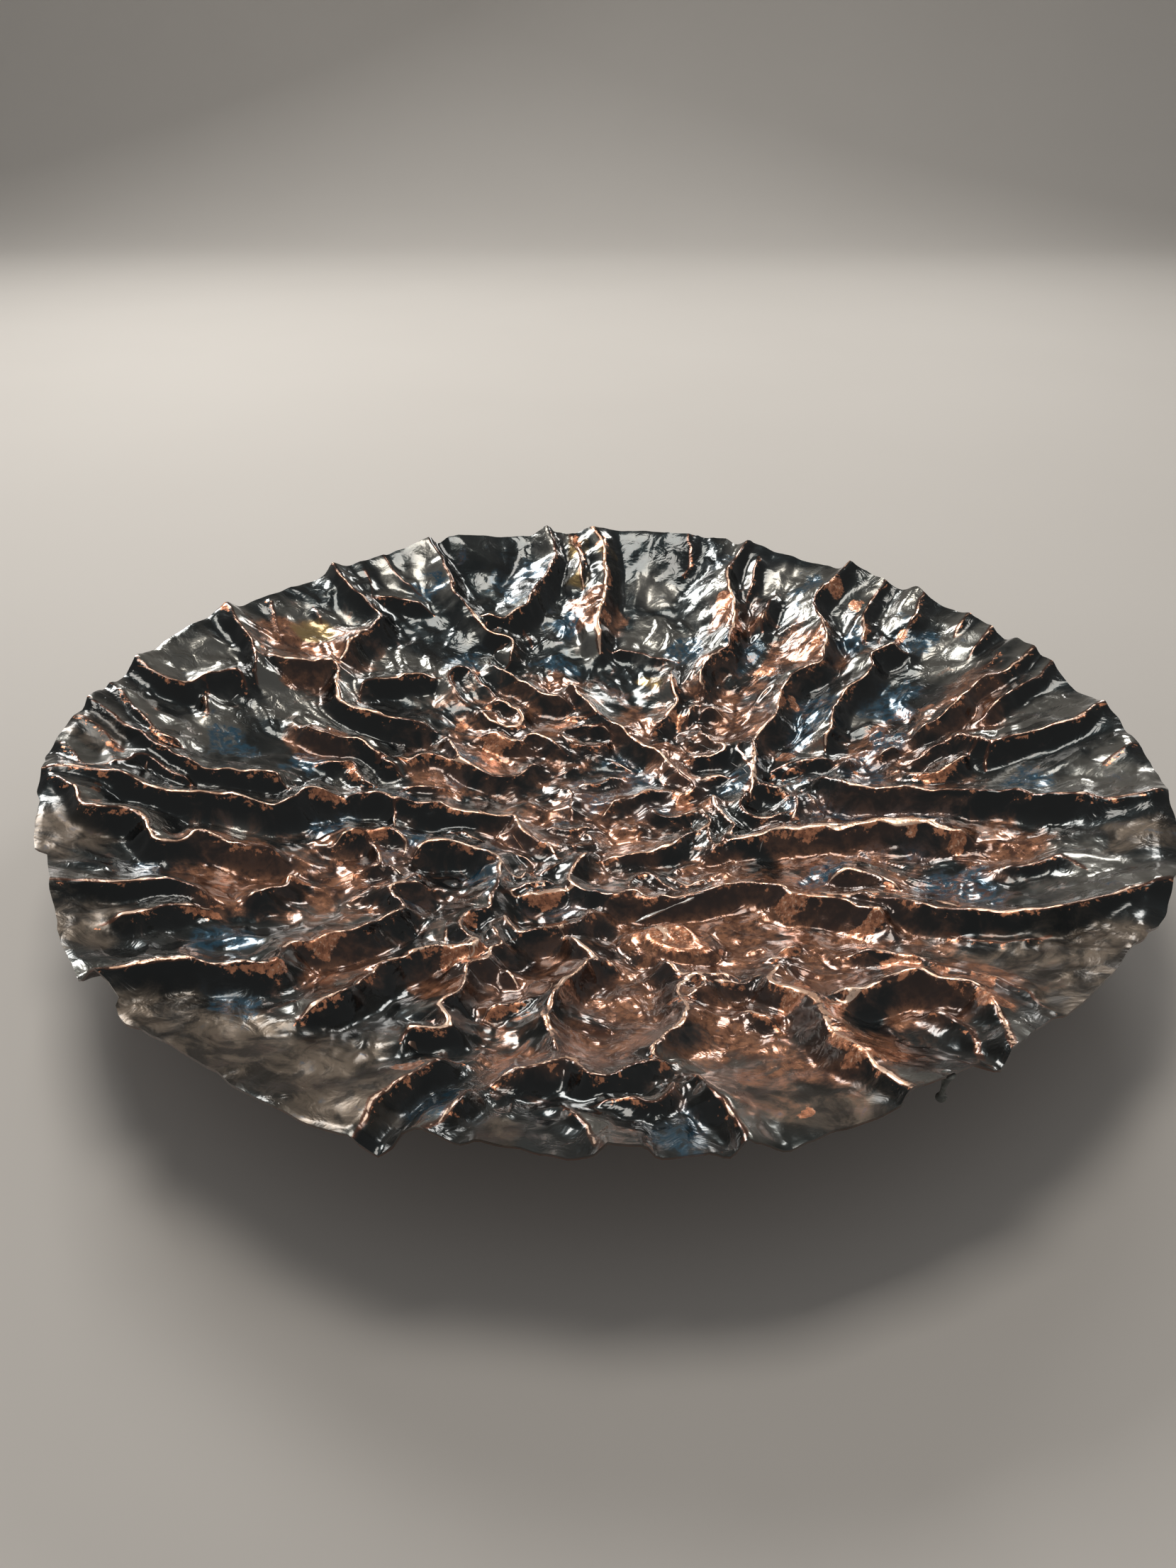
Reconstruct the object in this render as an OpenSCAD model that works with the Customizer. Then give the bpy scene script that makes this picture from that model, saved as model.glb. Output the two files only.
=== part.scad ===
// Shallow tray raised from one sheet of copper: sharp folds run in from a wavy rim and
// break up into lumps over the middle. A low strip ring, soldered under the middle,
// is the foot. A drip of the clear coat has set hard on the front edge.
// Units mm, +Z up, z = 0 is the table, the front of the tray is -Y.

/* [Sheet] */
// diameter over the rim
tray_d = 450; // [380:5:520]
// how far the rim stands above the middle
dish_depth = 50; // [35:1:70]
// thickness of the copper
sheet_t = 1.0; // [0.6:0.1:1.6]
// height of the folds, as a share of the heights in the table of folds
fold_scale = 1.0; // [0.5:0.05:1.3]
// half width of a fold at its base
fold_w = 13; // [8:1:20]
// how much of its height a fold has lost where it reaches the rim
rim_loss = 0.35; // [0:0.05:0.7]

/* [Foot] */
// outside diameter of the foot ring
foot_d = 150; // [110:2:200]
// thickness of the foot's copper strip
foot_t = 1.6; // [1:0.1:3]
// clear height under the middle of the sheet
sole_gap = 4.6; // [4.2:0.1:9]
// leg of the solder run in the corner between foot and sheet
solder_leg = 3.2; // [2:0.1:5]

/* [Drip] */
// how far the drip hangs below the edge
drip_len = 12; // [6:1:18]
// radius of the drip's neck
drip_neck_r = 1.9; // [1.2:0.1:3]
// radius of the bead at its end
drip_bead_r = 2.5; // [1.6:0.1:4]
// where along the edge it hangs, in degrees
drip_at = 296.7; // [295:0.1:298]

/* [Hidden] */
$fn = 96;
R = tray_d / 2;
// The sheet is a net of points: rings of them from u_first out to the rim at u = 1, where
// u is the distance from the middle as a share of the radius.
rings = 15;
u_first = 0.1;
fade_len = 0.14;
rim_band = 0.15;
lump_reach = 3;

// One row a fold, in order round the rim. The first five numbers are the fold's direction
// in degrees at the rim and at 85, 70, 55 and 40 percent of the way out. Then how far in
// it runs, as a share of the radius, and how high it stands.
folds = [
  [-14, -12.5, -8.7, -3.5, 8, 0.42, 11],
  [-4, -6.5, -4, 1, 10, 0.85, 7],
  [4, 2, 8, 8, 14, 0.66, 12],
  [15, 11.7, 10.5, 11, 16, 0.78, 7],
  [19, 17, 13, 14, 18, 0.64, 11],
  [25, 22, 19, 18, 20, 0.8, 7],
  [32, 29, 25, 21.5, 22, 0.82, 6],
  [38, 35.5, 31.3, 24, 24, 0.48, 11],
  [44, 42.5, 36, 32, 28, 0.8, 6],
  [50.5, 51, 42, 39.5, 30, 0.33, 12],
  [57.5, 58.5, 54, 48, 40, 0.62, 7],
  [66, 66.7, 61.5, 61.5, 52, 0.42, 12],
  [76, 75, 73, 70, 60, 0.8, 6],
  [83, 83, 81, 78, 72, 0.7, 5],
  [90, 88, 88.5, 88, 84, 0.45, 11],
  [93.5, 92, 93, 92, 90, 0.8, 6],
  [97, 98, 106, 100, 96, 0.68, 11],
  [115, 114.8, 113, 107, 104, 0.5, 11],
  [122.5, 121, 119, 117, 112, 0.8, 6],
  [132, 130.5, 132, 128, 122, 0.7, 12],
  [141.5, 146, 140, 138, 134, 0.84, 6],
  [148.5, 153, 146.5, 150.5, 142, 0.4, 12],
  [157, 158, 158, 157, 152, 0.8, 6],
  [165.5, 163.5, 165, 161.5, 160, 0.38, 11],
  [171.5, 177, 176, 174, 172, 0.8, 9],
  [176, 180.7, 182, 180.5, 178, 0.56, 11],
  [180, 182.5, 184, 183, 181, 0.88, 6],
  [185, 184.5, 187, 184.5, 182, 0.74, 8],
  [189, 189.3, 190, 185.5, 183, 0.15, 11],
  [192.5, 197, 202, 202, 200, 0.58, 12],
  [209, 210, 210, 208, 208, 0.72, 9],
  [216, 215, 214, 214, 214, 0.62, 9],
  [225, 228, 228, 230, 223, 0.38, 12],
  [240, 239, 239, 242, 246, 0.5, 11],
  [253, 254, 250.5, 249.5, 250, 0.42, 12],
  [257.5, 260.5, 258, 257, 256, 0.8, 7],
  [270.5, 266.5, 263.5, 266, 263, 0.38, 11],
  [275, 273, 272, 272, 270, 0.78, 6],
  [279.7, 278.7, 280, 282, 282, 0.4, 11],
  [286, 286, 287, 288, 290, 0.8, 5],
  [294, 293.8, 296, 294, 296, 0.57, 12],
  [299.5, 304, 301, 300, 302, 0.72, 8],
  [306, 311, 313, 313.5, 309, 0.3, 11],
  [318, 317, 317, 317, 315, 0.8, 5],
  [331.5, 324.5, 321, 320.5, 325, 0.5, 11],
  [338, 336, 333, 335, 335, 0.72, 8],
  [342, 341.5, 341, 346, 342.5, 0.3, 9]
];
n_folds = len(folds);
stations = 3 * n_folds;

// Lumps over the middle: place as shares of the radius, width as a share of it, height.
lumps = [
  [0.08, -0.42, 0.075, 7], [0.18, -0.03, 0.06, 6], [-0.08, -0.12, 0.07, 6],
  [-0.14, 0.03, 0.06, 7], [0.03, 0.18, 0.07, 6], [0.27, -0.08, 0.07, 7],
  [0.12, 0.28, 0.08, 7], [-0.20, 0.25, 0.08, 7], [-0.29, -0.02, 0.06, 6],
  [0.25, 0.17, 0.06, 6], [-0.04, -0.33, 0.07, 7], [-0.20, -0.28, 0.07, 7],
  [0.26, -0.30, 0.07, 6], [-0.33, 0.13, 0.06, 6]
];

function clamp01(v) = min(1, max(0, v));
function ease(v) = v * v * (3 - 2 * v);
function fold_row(k) = folds[k % n_folds];
function fold_turn(k) = 360 * floor(k / n_folds);
// direction of fold k at radius share u; near the middle the folds spread out evenly
function fold_dir(k, u) = let (f = fold_row(k)) fold_turn(k) + lookup(u, [
    [u_first, folds[0][0] + 360 * (k % n_folds) / n_folds],
    [0.4, f[4]], [0.55, f[3]], [0.7, f[2]], [0.85, f[1]], [1, f[0]]
  ]);
// a fold grows from nothing at its inner end, and sinks a little toward the rim
function fold_top(k, u) = let (f = fold_row(k))
  fold_scale * f[6] * ease(clamp01((u - f[5]) / fade_len))
  * (1 - rim_loss * ease(clamp01((u - 1 + rim_band) / rim_band)));
// a fold's base ends short of the next fold, so a valley lies between each two
function valley(k, u) = min(0.36 * (fold_dir(k + 1, u) - fold_dir(k, u)),
                            fold_w / (u * R) * 180 / PI);
function station_dir(i, u) = let (k = floor(i / 3), s = i % 3)
  s == 0 ? fold_dir(k, u)
  : s == 1 ? fold_dir(k, u) + valley(k, u)
  : fold_dir(k + 1, u) - valley(k, u);
function lump(x, y, n = 0) = n == len(lumps) ? 0 :
  let (q = lumps[n], d = ((x - q[0]) ^ 2 + (y - q[1]) ^ 2) / q[2] ^ 2)
  (d > lump_reach ^ 2 ? 0 : fold_scale * q[3] * exp(-d)) + lump(x, y, n + 1);
function under(u) = sole_gap + dish_depth * u * u;
function sheet_point(i, u, lift) = let (
    a = station_dir(i, u), x = u * cos(a), y = u * sin(a),
    h = i % 3 == 0 ? fold_top(i / 3, u) : 0)
  [R * x, R * y, under(u) + h + lump(x, y) + lift];

function ring_u(j) = u_first + (1 - u_first) * j / (rings - 1);
function skin(lift) = concat(
  [[0, 0, under(0) + lump(0, 0) + lift]],
  [for (j = [0 : rings - 1]) for (i = [0 : stations - 1]) sheet_point(i, ring_u(j), lift)]);
function at(j, i) = 1 + j * stations + i % stations;
skin_n = 1 + rings * stations;

module copper_sheet() {
  top_faces = concat(
    [for (i = [0 : stations - 1]) [0, at(0, i + 1), at(0, i)]],
    [for (j = [0 : rings - 2]) for (i = [0 : stations - 1]) [at(j, i), at(j, i + 1), at(j + 1, i + 1)]],
    [for (j = [0 : rings - 2]) for (i = [0 : stations - 1]) [at(j, i), at(j + 1, i + 1), at(j + 1, i)]]);
  low_faces = [for (f = top_faces) [f[0] + skin_n, f[2] + skin_n, f[1] + skin_n]];
  last = rings - 1;
  edge_faces = concat(
    [for (i = [0 : stations - 1]) [at(last, i), at(last, i + 1), at(last, i + 1) + skin_n]],
    [for (i = [0 : stations - 1]) [at(last, i), at(last, i + 1) + skin_n, at(last, i) + skin_n]]);
  color([0.36, 0.27, 0.22])
    polyhedron(points = concat(skin(sheet_t), skin(0)),
               faces = concat(top_faces, low_faces, edge_faces), convexity = 12);
}

foot_r = foot_d / 2;
foot_top = under(foot_r / R) + sheet_t * 0.6;

module foot_ring() {
  color([0.66, 0.40, 0.28])
    difference() {
      cylinder(h = foot_top, r = foot_r);
      translate([0, 0, -1]) cylinder(h = foot_top + 2, r = foot_r - foot_t);
    }
}

// the run sits in the corner outside the ring and its skirt bites into both metals
module foot_solder() {
  color([0.62, 0.62, 0.60])
    rotate_extrude()
      polygon([
        [foot_r - 0.2, foot_top - solder_leg],
        [foot_r + 0.5, foot_top - solder_leg * 0.9],
        [foot_r + solder_leg * 0.45, foot_top - solder_leg * 0.45],
        [foot_r + solder_leg, foot_top - 0.1],
        [foot_r + solder_leg, foot_top + 0.1],
        [foot_r - 0.2, foot_top + 0.1]
      ]);
}

module lacquer_drip() {
  edge_z = under(1) + sheet_t * 0.6;
  bead_z = under(1) - drip_len + drip_bead_r;
  color([0.55, 0.60, 0.58])
    rotate([0, 0, drip_at])
      translate([R - drip_neck_r - 0.6, 0, 0])
        rotate_extrude($fn = 48)
          polygon(concat(
            [[0, edge_z], [drip_neck_r * 1.15, edge_z], [drip_neck_r, edge_z - 2.4],
             [drip_neck_r * 0.9, bead_z + drip_bead_r * 1.6]],
            [for (t = [40 : -13 : -90]) [drip_bead_r * cos(t), bead_z + drip_bead_r * sin(t)]]));
}

copper_sheet();
foot_ring();
foot_solder();
lacquer_drip();
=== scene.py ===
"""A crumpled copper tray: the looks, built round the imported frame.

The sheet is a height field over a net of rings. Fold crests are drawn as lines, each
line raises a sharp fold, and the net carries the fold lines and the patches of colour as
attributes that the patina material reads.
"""
import math

import bpy
import numpy as np
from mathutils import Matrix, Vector


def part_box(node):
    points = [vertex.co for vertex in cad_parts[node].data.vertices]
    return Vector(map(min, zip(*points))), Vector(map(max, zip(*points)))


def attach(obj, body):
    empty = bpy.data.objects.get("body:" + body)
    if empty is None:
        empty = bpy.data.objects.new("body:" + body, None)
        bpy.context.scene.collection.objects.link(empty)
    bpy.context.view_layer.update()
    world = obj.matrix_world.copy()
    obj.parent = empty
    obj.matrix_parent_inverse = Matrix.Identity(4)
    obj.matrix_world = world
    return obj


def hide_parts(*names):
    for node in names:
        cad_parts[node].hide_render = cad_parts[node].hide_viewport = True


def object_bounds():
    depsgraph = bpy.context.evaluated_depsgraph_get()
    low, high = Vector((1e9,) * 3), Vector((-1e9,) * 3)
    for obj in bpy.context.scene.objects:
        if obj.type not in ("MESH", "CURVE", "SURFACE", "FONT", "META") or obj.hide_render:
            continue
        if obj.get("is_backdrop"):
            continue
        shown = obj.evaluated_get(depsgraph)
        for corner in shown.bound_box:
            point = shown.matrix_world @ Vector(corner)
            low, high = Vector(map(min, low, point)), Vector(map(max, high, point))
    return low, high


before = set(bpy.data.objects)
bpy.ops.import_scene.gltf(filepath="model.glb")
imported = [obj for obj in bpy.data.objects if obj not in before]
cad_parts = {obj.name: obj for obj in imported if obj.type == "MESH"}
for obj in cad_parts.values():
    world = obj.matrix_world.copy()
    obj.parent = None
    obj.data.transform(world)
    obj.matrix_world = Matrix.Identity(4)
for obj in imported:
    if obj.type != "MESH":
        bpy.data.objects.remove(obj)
cad_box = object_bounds()

MM = 0.001
RADIUS = cad_box[1].x / MM                  # of the rim, in mm
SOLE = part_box("copper_sheet")[0].z / MM     # height of the underside in the middle
FOOT_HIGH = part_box("foot_ring")[1]
FOOT_RADIUS = FOOT_HIGH.x / MM
FOOT_TOP = FOOT_HIGH.z / MM
DRIP_LOW, DRIP_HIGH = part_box("lacquer_drip")
SHEET_T = 1.0                               # thickness of the copper, mm
DEPTH = 50.0                                # how far the rim stands above the middle, mm

# ---------------------------------------------------------------- the fold lines

# One row a fold: height in mm, how wide its copper shows (1 is a thin line), and its crest
# as (percent of the radius, degrees), from the rim inwards.
RIM_FOLDS = [
    # left, from the far side round to the near side
    (10, 1.0, [(100, 148), (93, 150), (87, 152), (83, 154), (79, 158)]),
    (9, 1.3, [(84, 153), (78, 150), (75, 147), (72, 144.5), (66.5, 149.5), (63.5, 152),
              (55.5, 151), (49, 147.5), (44, 142)]),
    (3, 0.8, [(98, 146.5), (92, 147.5), (84, 151)]),
    (3, 0.8, [(97, 142), (92, 144), (86, 146.5)]),
    (3, 0.6, [(92, 137), (86, 138.5)]),
    (9, 1.0, [(100, 165), (95, 166), (89, 165.5), (87, 163), (83, 158.5), (80, 160)]),
    (5, 0.9, [(86, 163.5), (84, 166), (82, 168.5)]),
    (8, 1.0, [(66, 163), (60, 163), (53, 160.5), (48, 162), (44, 161)]),
    (8, 0.9, [(100, 171), (95, 173), (88, 176.5), (84, 177.5), (80, 179)]),
    (9, 1.0, [(101, 175), (96, 176.5), (91.5, 178), (86, 180), (79.5, 182), (75, 183),
              (71, 182), (64, 180.5), (62, 182), (59.5, 182.5)]),
    (5, 0.8, [(101, 178.5), (96, 179.5), (93, 181), (90, 181.8)]),
    (6, 0.9, [(101, 184), (98, 185), (94, 187.5), (90, 185.5), (86, 182.5), (80, 185), (76, 186)]),
    (10, 1.3, [(101, 189.5), (95.5, 188.5), (87, 189), (79, 190.7), (71, 189.3), (66, 190.5),
               (63, 190.5), (59.5, 188.5), (55, 184), (50, 181.5)]),
    (10, 1.2, [(99, 190.5), (95, 192), (92, 196), (84, 196.5), (82, 201.5), (77.5, 201.5),
               (74, 200), (67, 203.5), (60, 203.5)]),
    (8, 1.0, [(100, 209), (90, 209.8), (82, 210.5), (78, 213), (75, 214.5)]),
    (7, 1.1, [(73, 215), (66, 213), (63, 211.5), (60, 207)]),
    (6, 1.2, [(94, 216), (87, 215), (83, 214.5), (77, 215)]),
    (10, 1.2, [(101, 224.5), (91, 225.8), (83.5, 229), (77.5, 231), (73, 228), (70.5, 227.7),
               (68, 229.2), (64, 229), (59.5, 230.5), (55.5, 229.5), (50.5, 229), (48, 222),
               (44, 222), (40, 223)]),
    (9, 1.2, [(84, 239.3), (75, 240), (65, 239.3), (59, 240.3), (54, 243.3), (53, 245.5),
              (48, 248)]),
    # the near side
    (9, 1.3, [(45, 243.5), (45, 247), (49, 251.5), (51, 250), (54.5, 251), (57.5, 249.5),
              (63.5, 251), (67, 251), (70, 250.5), (74.5, 253.5), (77.5, 250), (80, 249.7)]),
    (7, 1.0, [(81, 256.5), (85, 254.5), (92, 252.3), (96, 252.5), (101, 253)]),
    (7, 1.0, [(101, 257.3), (95, 258.5), (88.5, 259.3), (87, 260.3)]),
    (8, 1.0, [(87, 260), (84, 262.5), (80, 267), (82, 268), (84, 269.5), (83, 271.5),
              (79.5, 275), (78.5, 277.5)]),
    (5, 0.8, [(89.5, 268.5), (88.5, 271), (89, 275), (84, 277), (82, 278)]),
    (6, 0.9, [(89, 266.8), (94.5, 269), (101, 270.3)]),
    (8, 1.0, [(81.5, 278), (84.5, 278.7), (91, 279.6), (97, 280.2), (101, 279.5)]),
    (3, 0.8, [(70, 264.6), (74, 266), (82, 268.5)]),
    (8, 1.2, [(48, 267.8), (50.5, 268.5), (57, 265.5), (66, 263.5), (69, 263.2), (76, 265.5),
              (80, 267)]),
    (5, 0.9, [(48, 267.8), (46, 266.3), (41, 263)]),
    (9, 1.5, [(61, 296), (66, 294), (72, 295), (80, 293.5), (90, 293), (101, 293)]),
    (8, 1.5, [(60, 293), (60, 290), (58.5, 284), (61.5, 281.5), (68, 281), (71, 279.5),
              (75.5, 275.8), (77.5, 275.3), (79, 276.5)]),
    (5, 0.8, [(83, 303), (89, 304), (95, 302), (102, 299)]),
    (11, 1.3, [(72, 297), (76, 301), (78, 306), (84, 307), (88, 308), (94, 305), (101, 302)]),
    (6, 0.9, [(65, 307), (67, 309), (72, 311), (80, 311), (90, 311), (98, 309)]),
    # right
    (9, 1.1, [(102, 332), (95, 328.5), (88.5, 324.3), (83.5, 323.3), (78, 321.5), (64.5, 321.5),
              (54.5, 320.5)]),
    (3, 0.7, [(74, 319), (83, 319), (89, 322)]),
    (4, 0.9, [(74.5, 334.5), (80, 334.5), (85, 336), (90, 334)]),
    (9, 1.5, [(72, 340.5), (64, 343.5), (60, 345), (48, 344.8), (43, 343.5), (36, 342),
              (34, 338.5), (28, 335.5), (26, 331)]),
    (10, 1.1, [(44, 8.5), (48.5, 1.5), (50.5, 358.5), (56.5, 356.5), (60, 355), (65.5, 352.5),
               (77, 350), (82, 348), (87, 347), (93, 345.5), (101, 346)]),
    (4, 0.8, [(101, 356), (95, 354)]),
    (9, 1.1, [(102, 4), (98, 3.8), (92, 2.3), (82.5, 2.5), (79, 3), (75, 6), (70, 7.5)]),
    (3, 0.8, [(78, 2.5), (77, 0)]),
    (7, 1.0, [(101, 15.5), (96, 13.5), (92, 13.5), (81, 10.5)]),
    (9, 1.2, [(101, 18.5), (94, 17.3), (90, 16.5), (86, 17), (79, 15), (71.5, 12.3), (67, 13)]),
    (6, 0.9, [(101, 27), (94, 25), (90, 24)]),
    (4, 0.8, [(95, 22), (92, 20.5), (85, 19)]),
    (4, 1.2, [(101, 31), (93, 29)]),
    (7, 1.1, [(101, 38.5), (95, 37), (88, 34.5)]),
    (3, 0.8, [(86, 38.5), (80, 35.5)]),
    (9, 1.1, [(83, 31.5), (79, 34), (76.5, 34.5), (72, 31.5), (64.5, 30.5), (60, 28.5),
              (55.5, 24), (51, 17.5)]),
    (5, 1.0, [(101, 44.5), (88, 43), (80, 38.5)]),
    # the far side
    (10, 1.2, [(101, 50.5), (90, 51), (83.5, 50.5), (77, 45), (71, 41.5), (67, 40.5), (63, 42),
               (59, 42), (51, 38), (48, 34.5), (43, 33.5), (40, 32), (38, 27), (34, 15)]),
    (6, 0.9, [(87, 58.5), (77, 57.7), (73, 56.5)]),
    (10, 1.2, [(101, 66.3), (94, 67), (87, 67.3), (82, 65.8), (75, 62.5), (67, 61), (63, 59.5),
               (60.5, 61), (53, 62), (47, 58)]),
    (5, 0.8, [(96, 64), (91, 63.5), (83, 62.5)]),
    (3, 0.8, [(99, 75.5), (91, 74), (88, 75)]),
    (4, 0.8, [(60, 87), (60, 81), (58, 76), (58.5, 70)]),
    (10, 1.8, [(101, 90.5), (93, 88.5), (84, 87.7), (72, 88.3), (67, 89), (58, 88.8)]),
    (7, 1.2, [(99, 93.5), (90, 92.3), (80, 92)]),
    (9, 1.0, [(101, 97), (91, 96), (88, 96.8), (79, 100.5), (74, 103.5), (70.5, 107.5),
              (70, 109), (73.5, 113.5)]),
    (3, 0.8, [(69, 104.5), (63, 103.8)]),
    (9, 1.1, [(100, 115), (89, 114.6), (81, 115.2), (74, 113.5), (68, 113), (66, 112),
              (64, 109.5), (62, 108.5), (58, 110.5), (57, 112)]),
    (10, 1.2, [(101, 130.2), (93, 131), (83, 130), (80, 130), (78, 131), (76, 136), (73, 141),
               (72, 144.5)]),
    (5, 0.8, [(87, 129), (87.5, 127.5), (84, 123), (79, 120)]),
    (3, 0.7, [(98, 126.5), (92, 126.5), (88, 128)]),
    (4, 0.7, [(100, 122.5), (90, 121.8), (86, 119.8)]),
]

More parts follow.
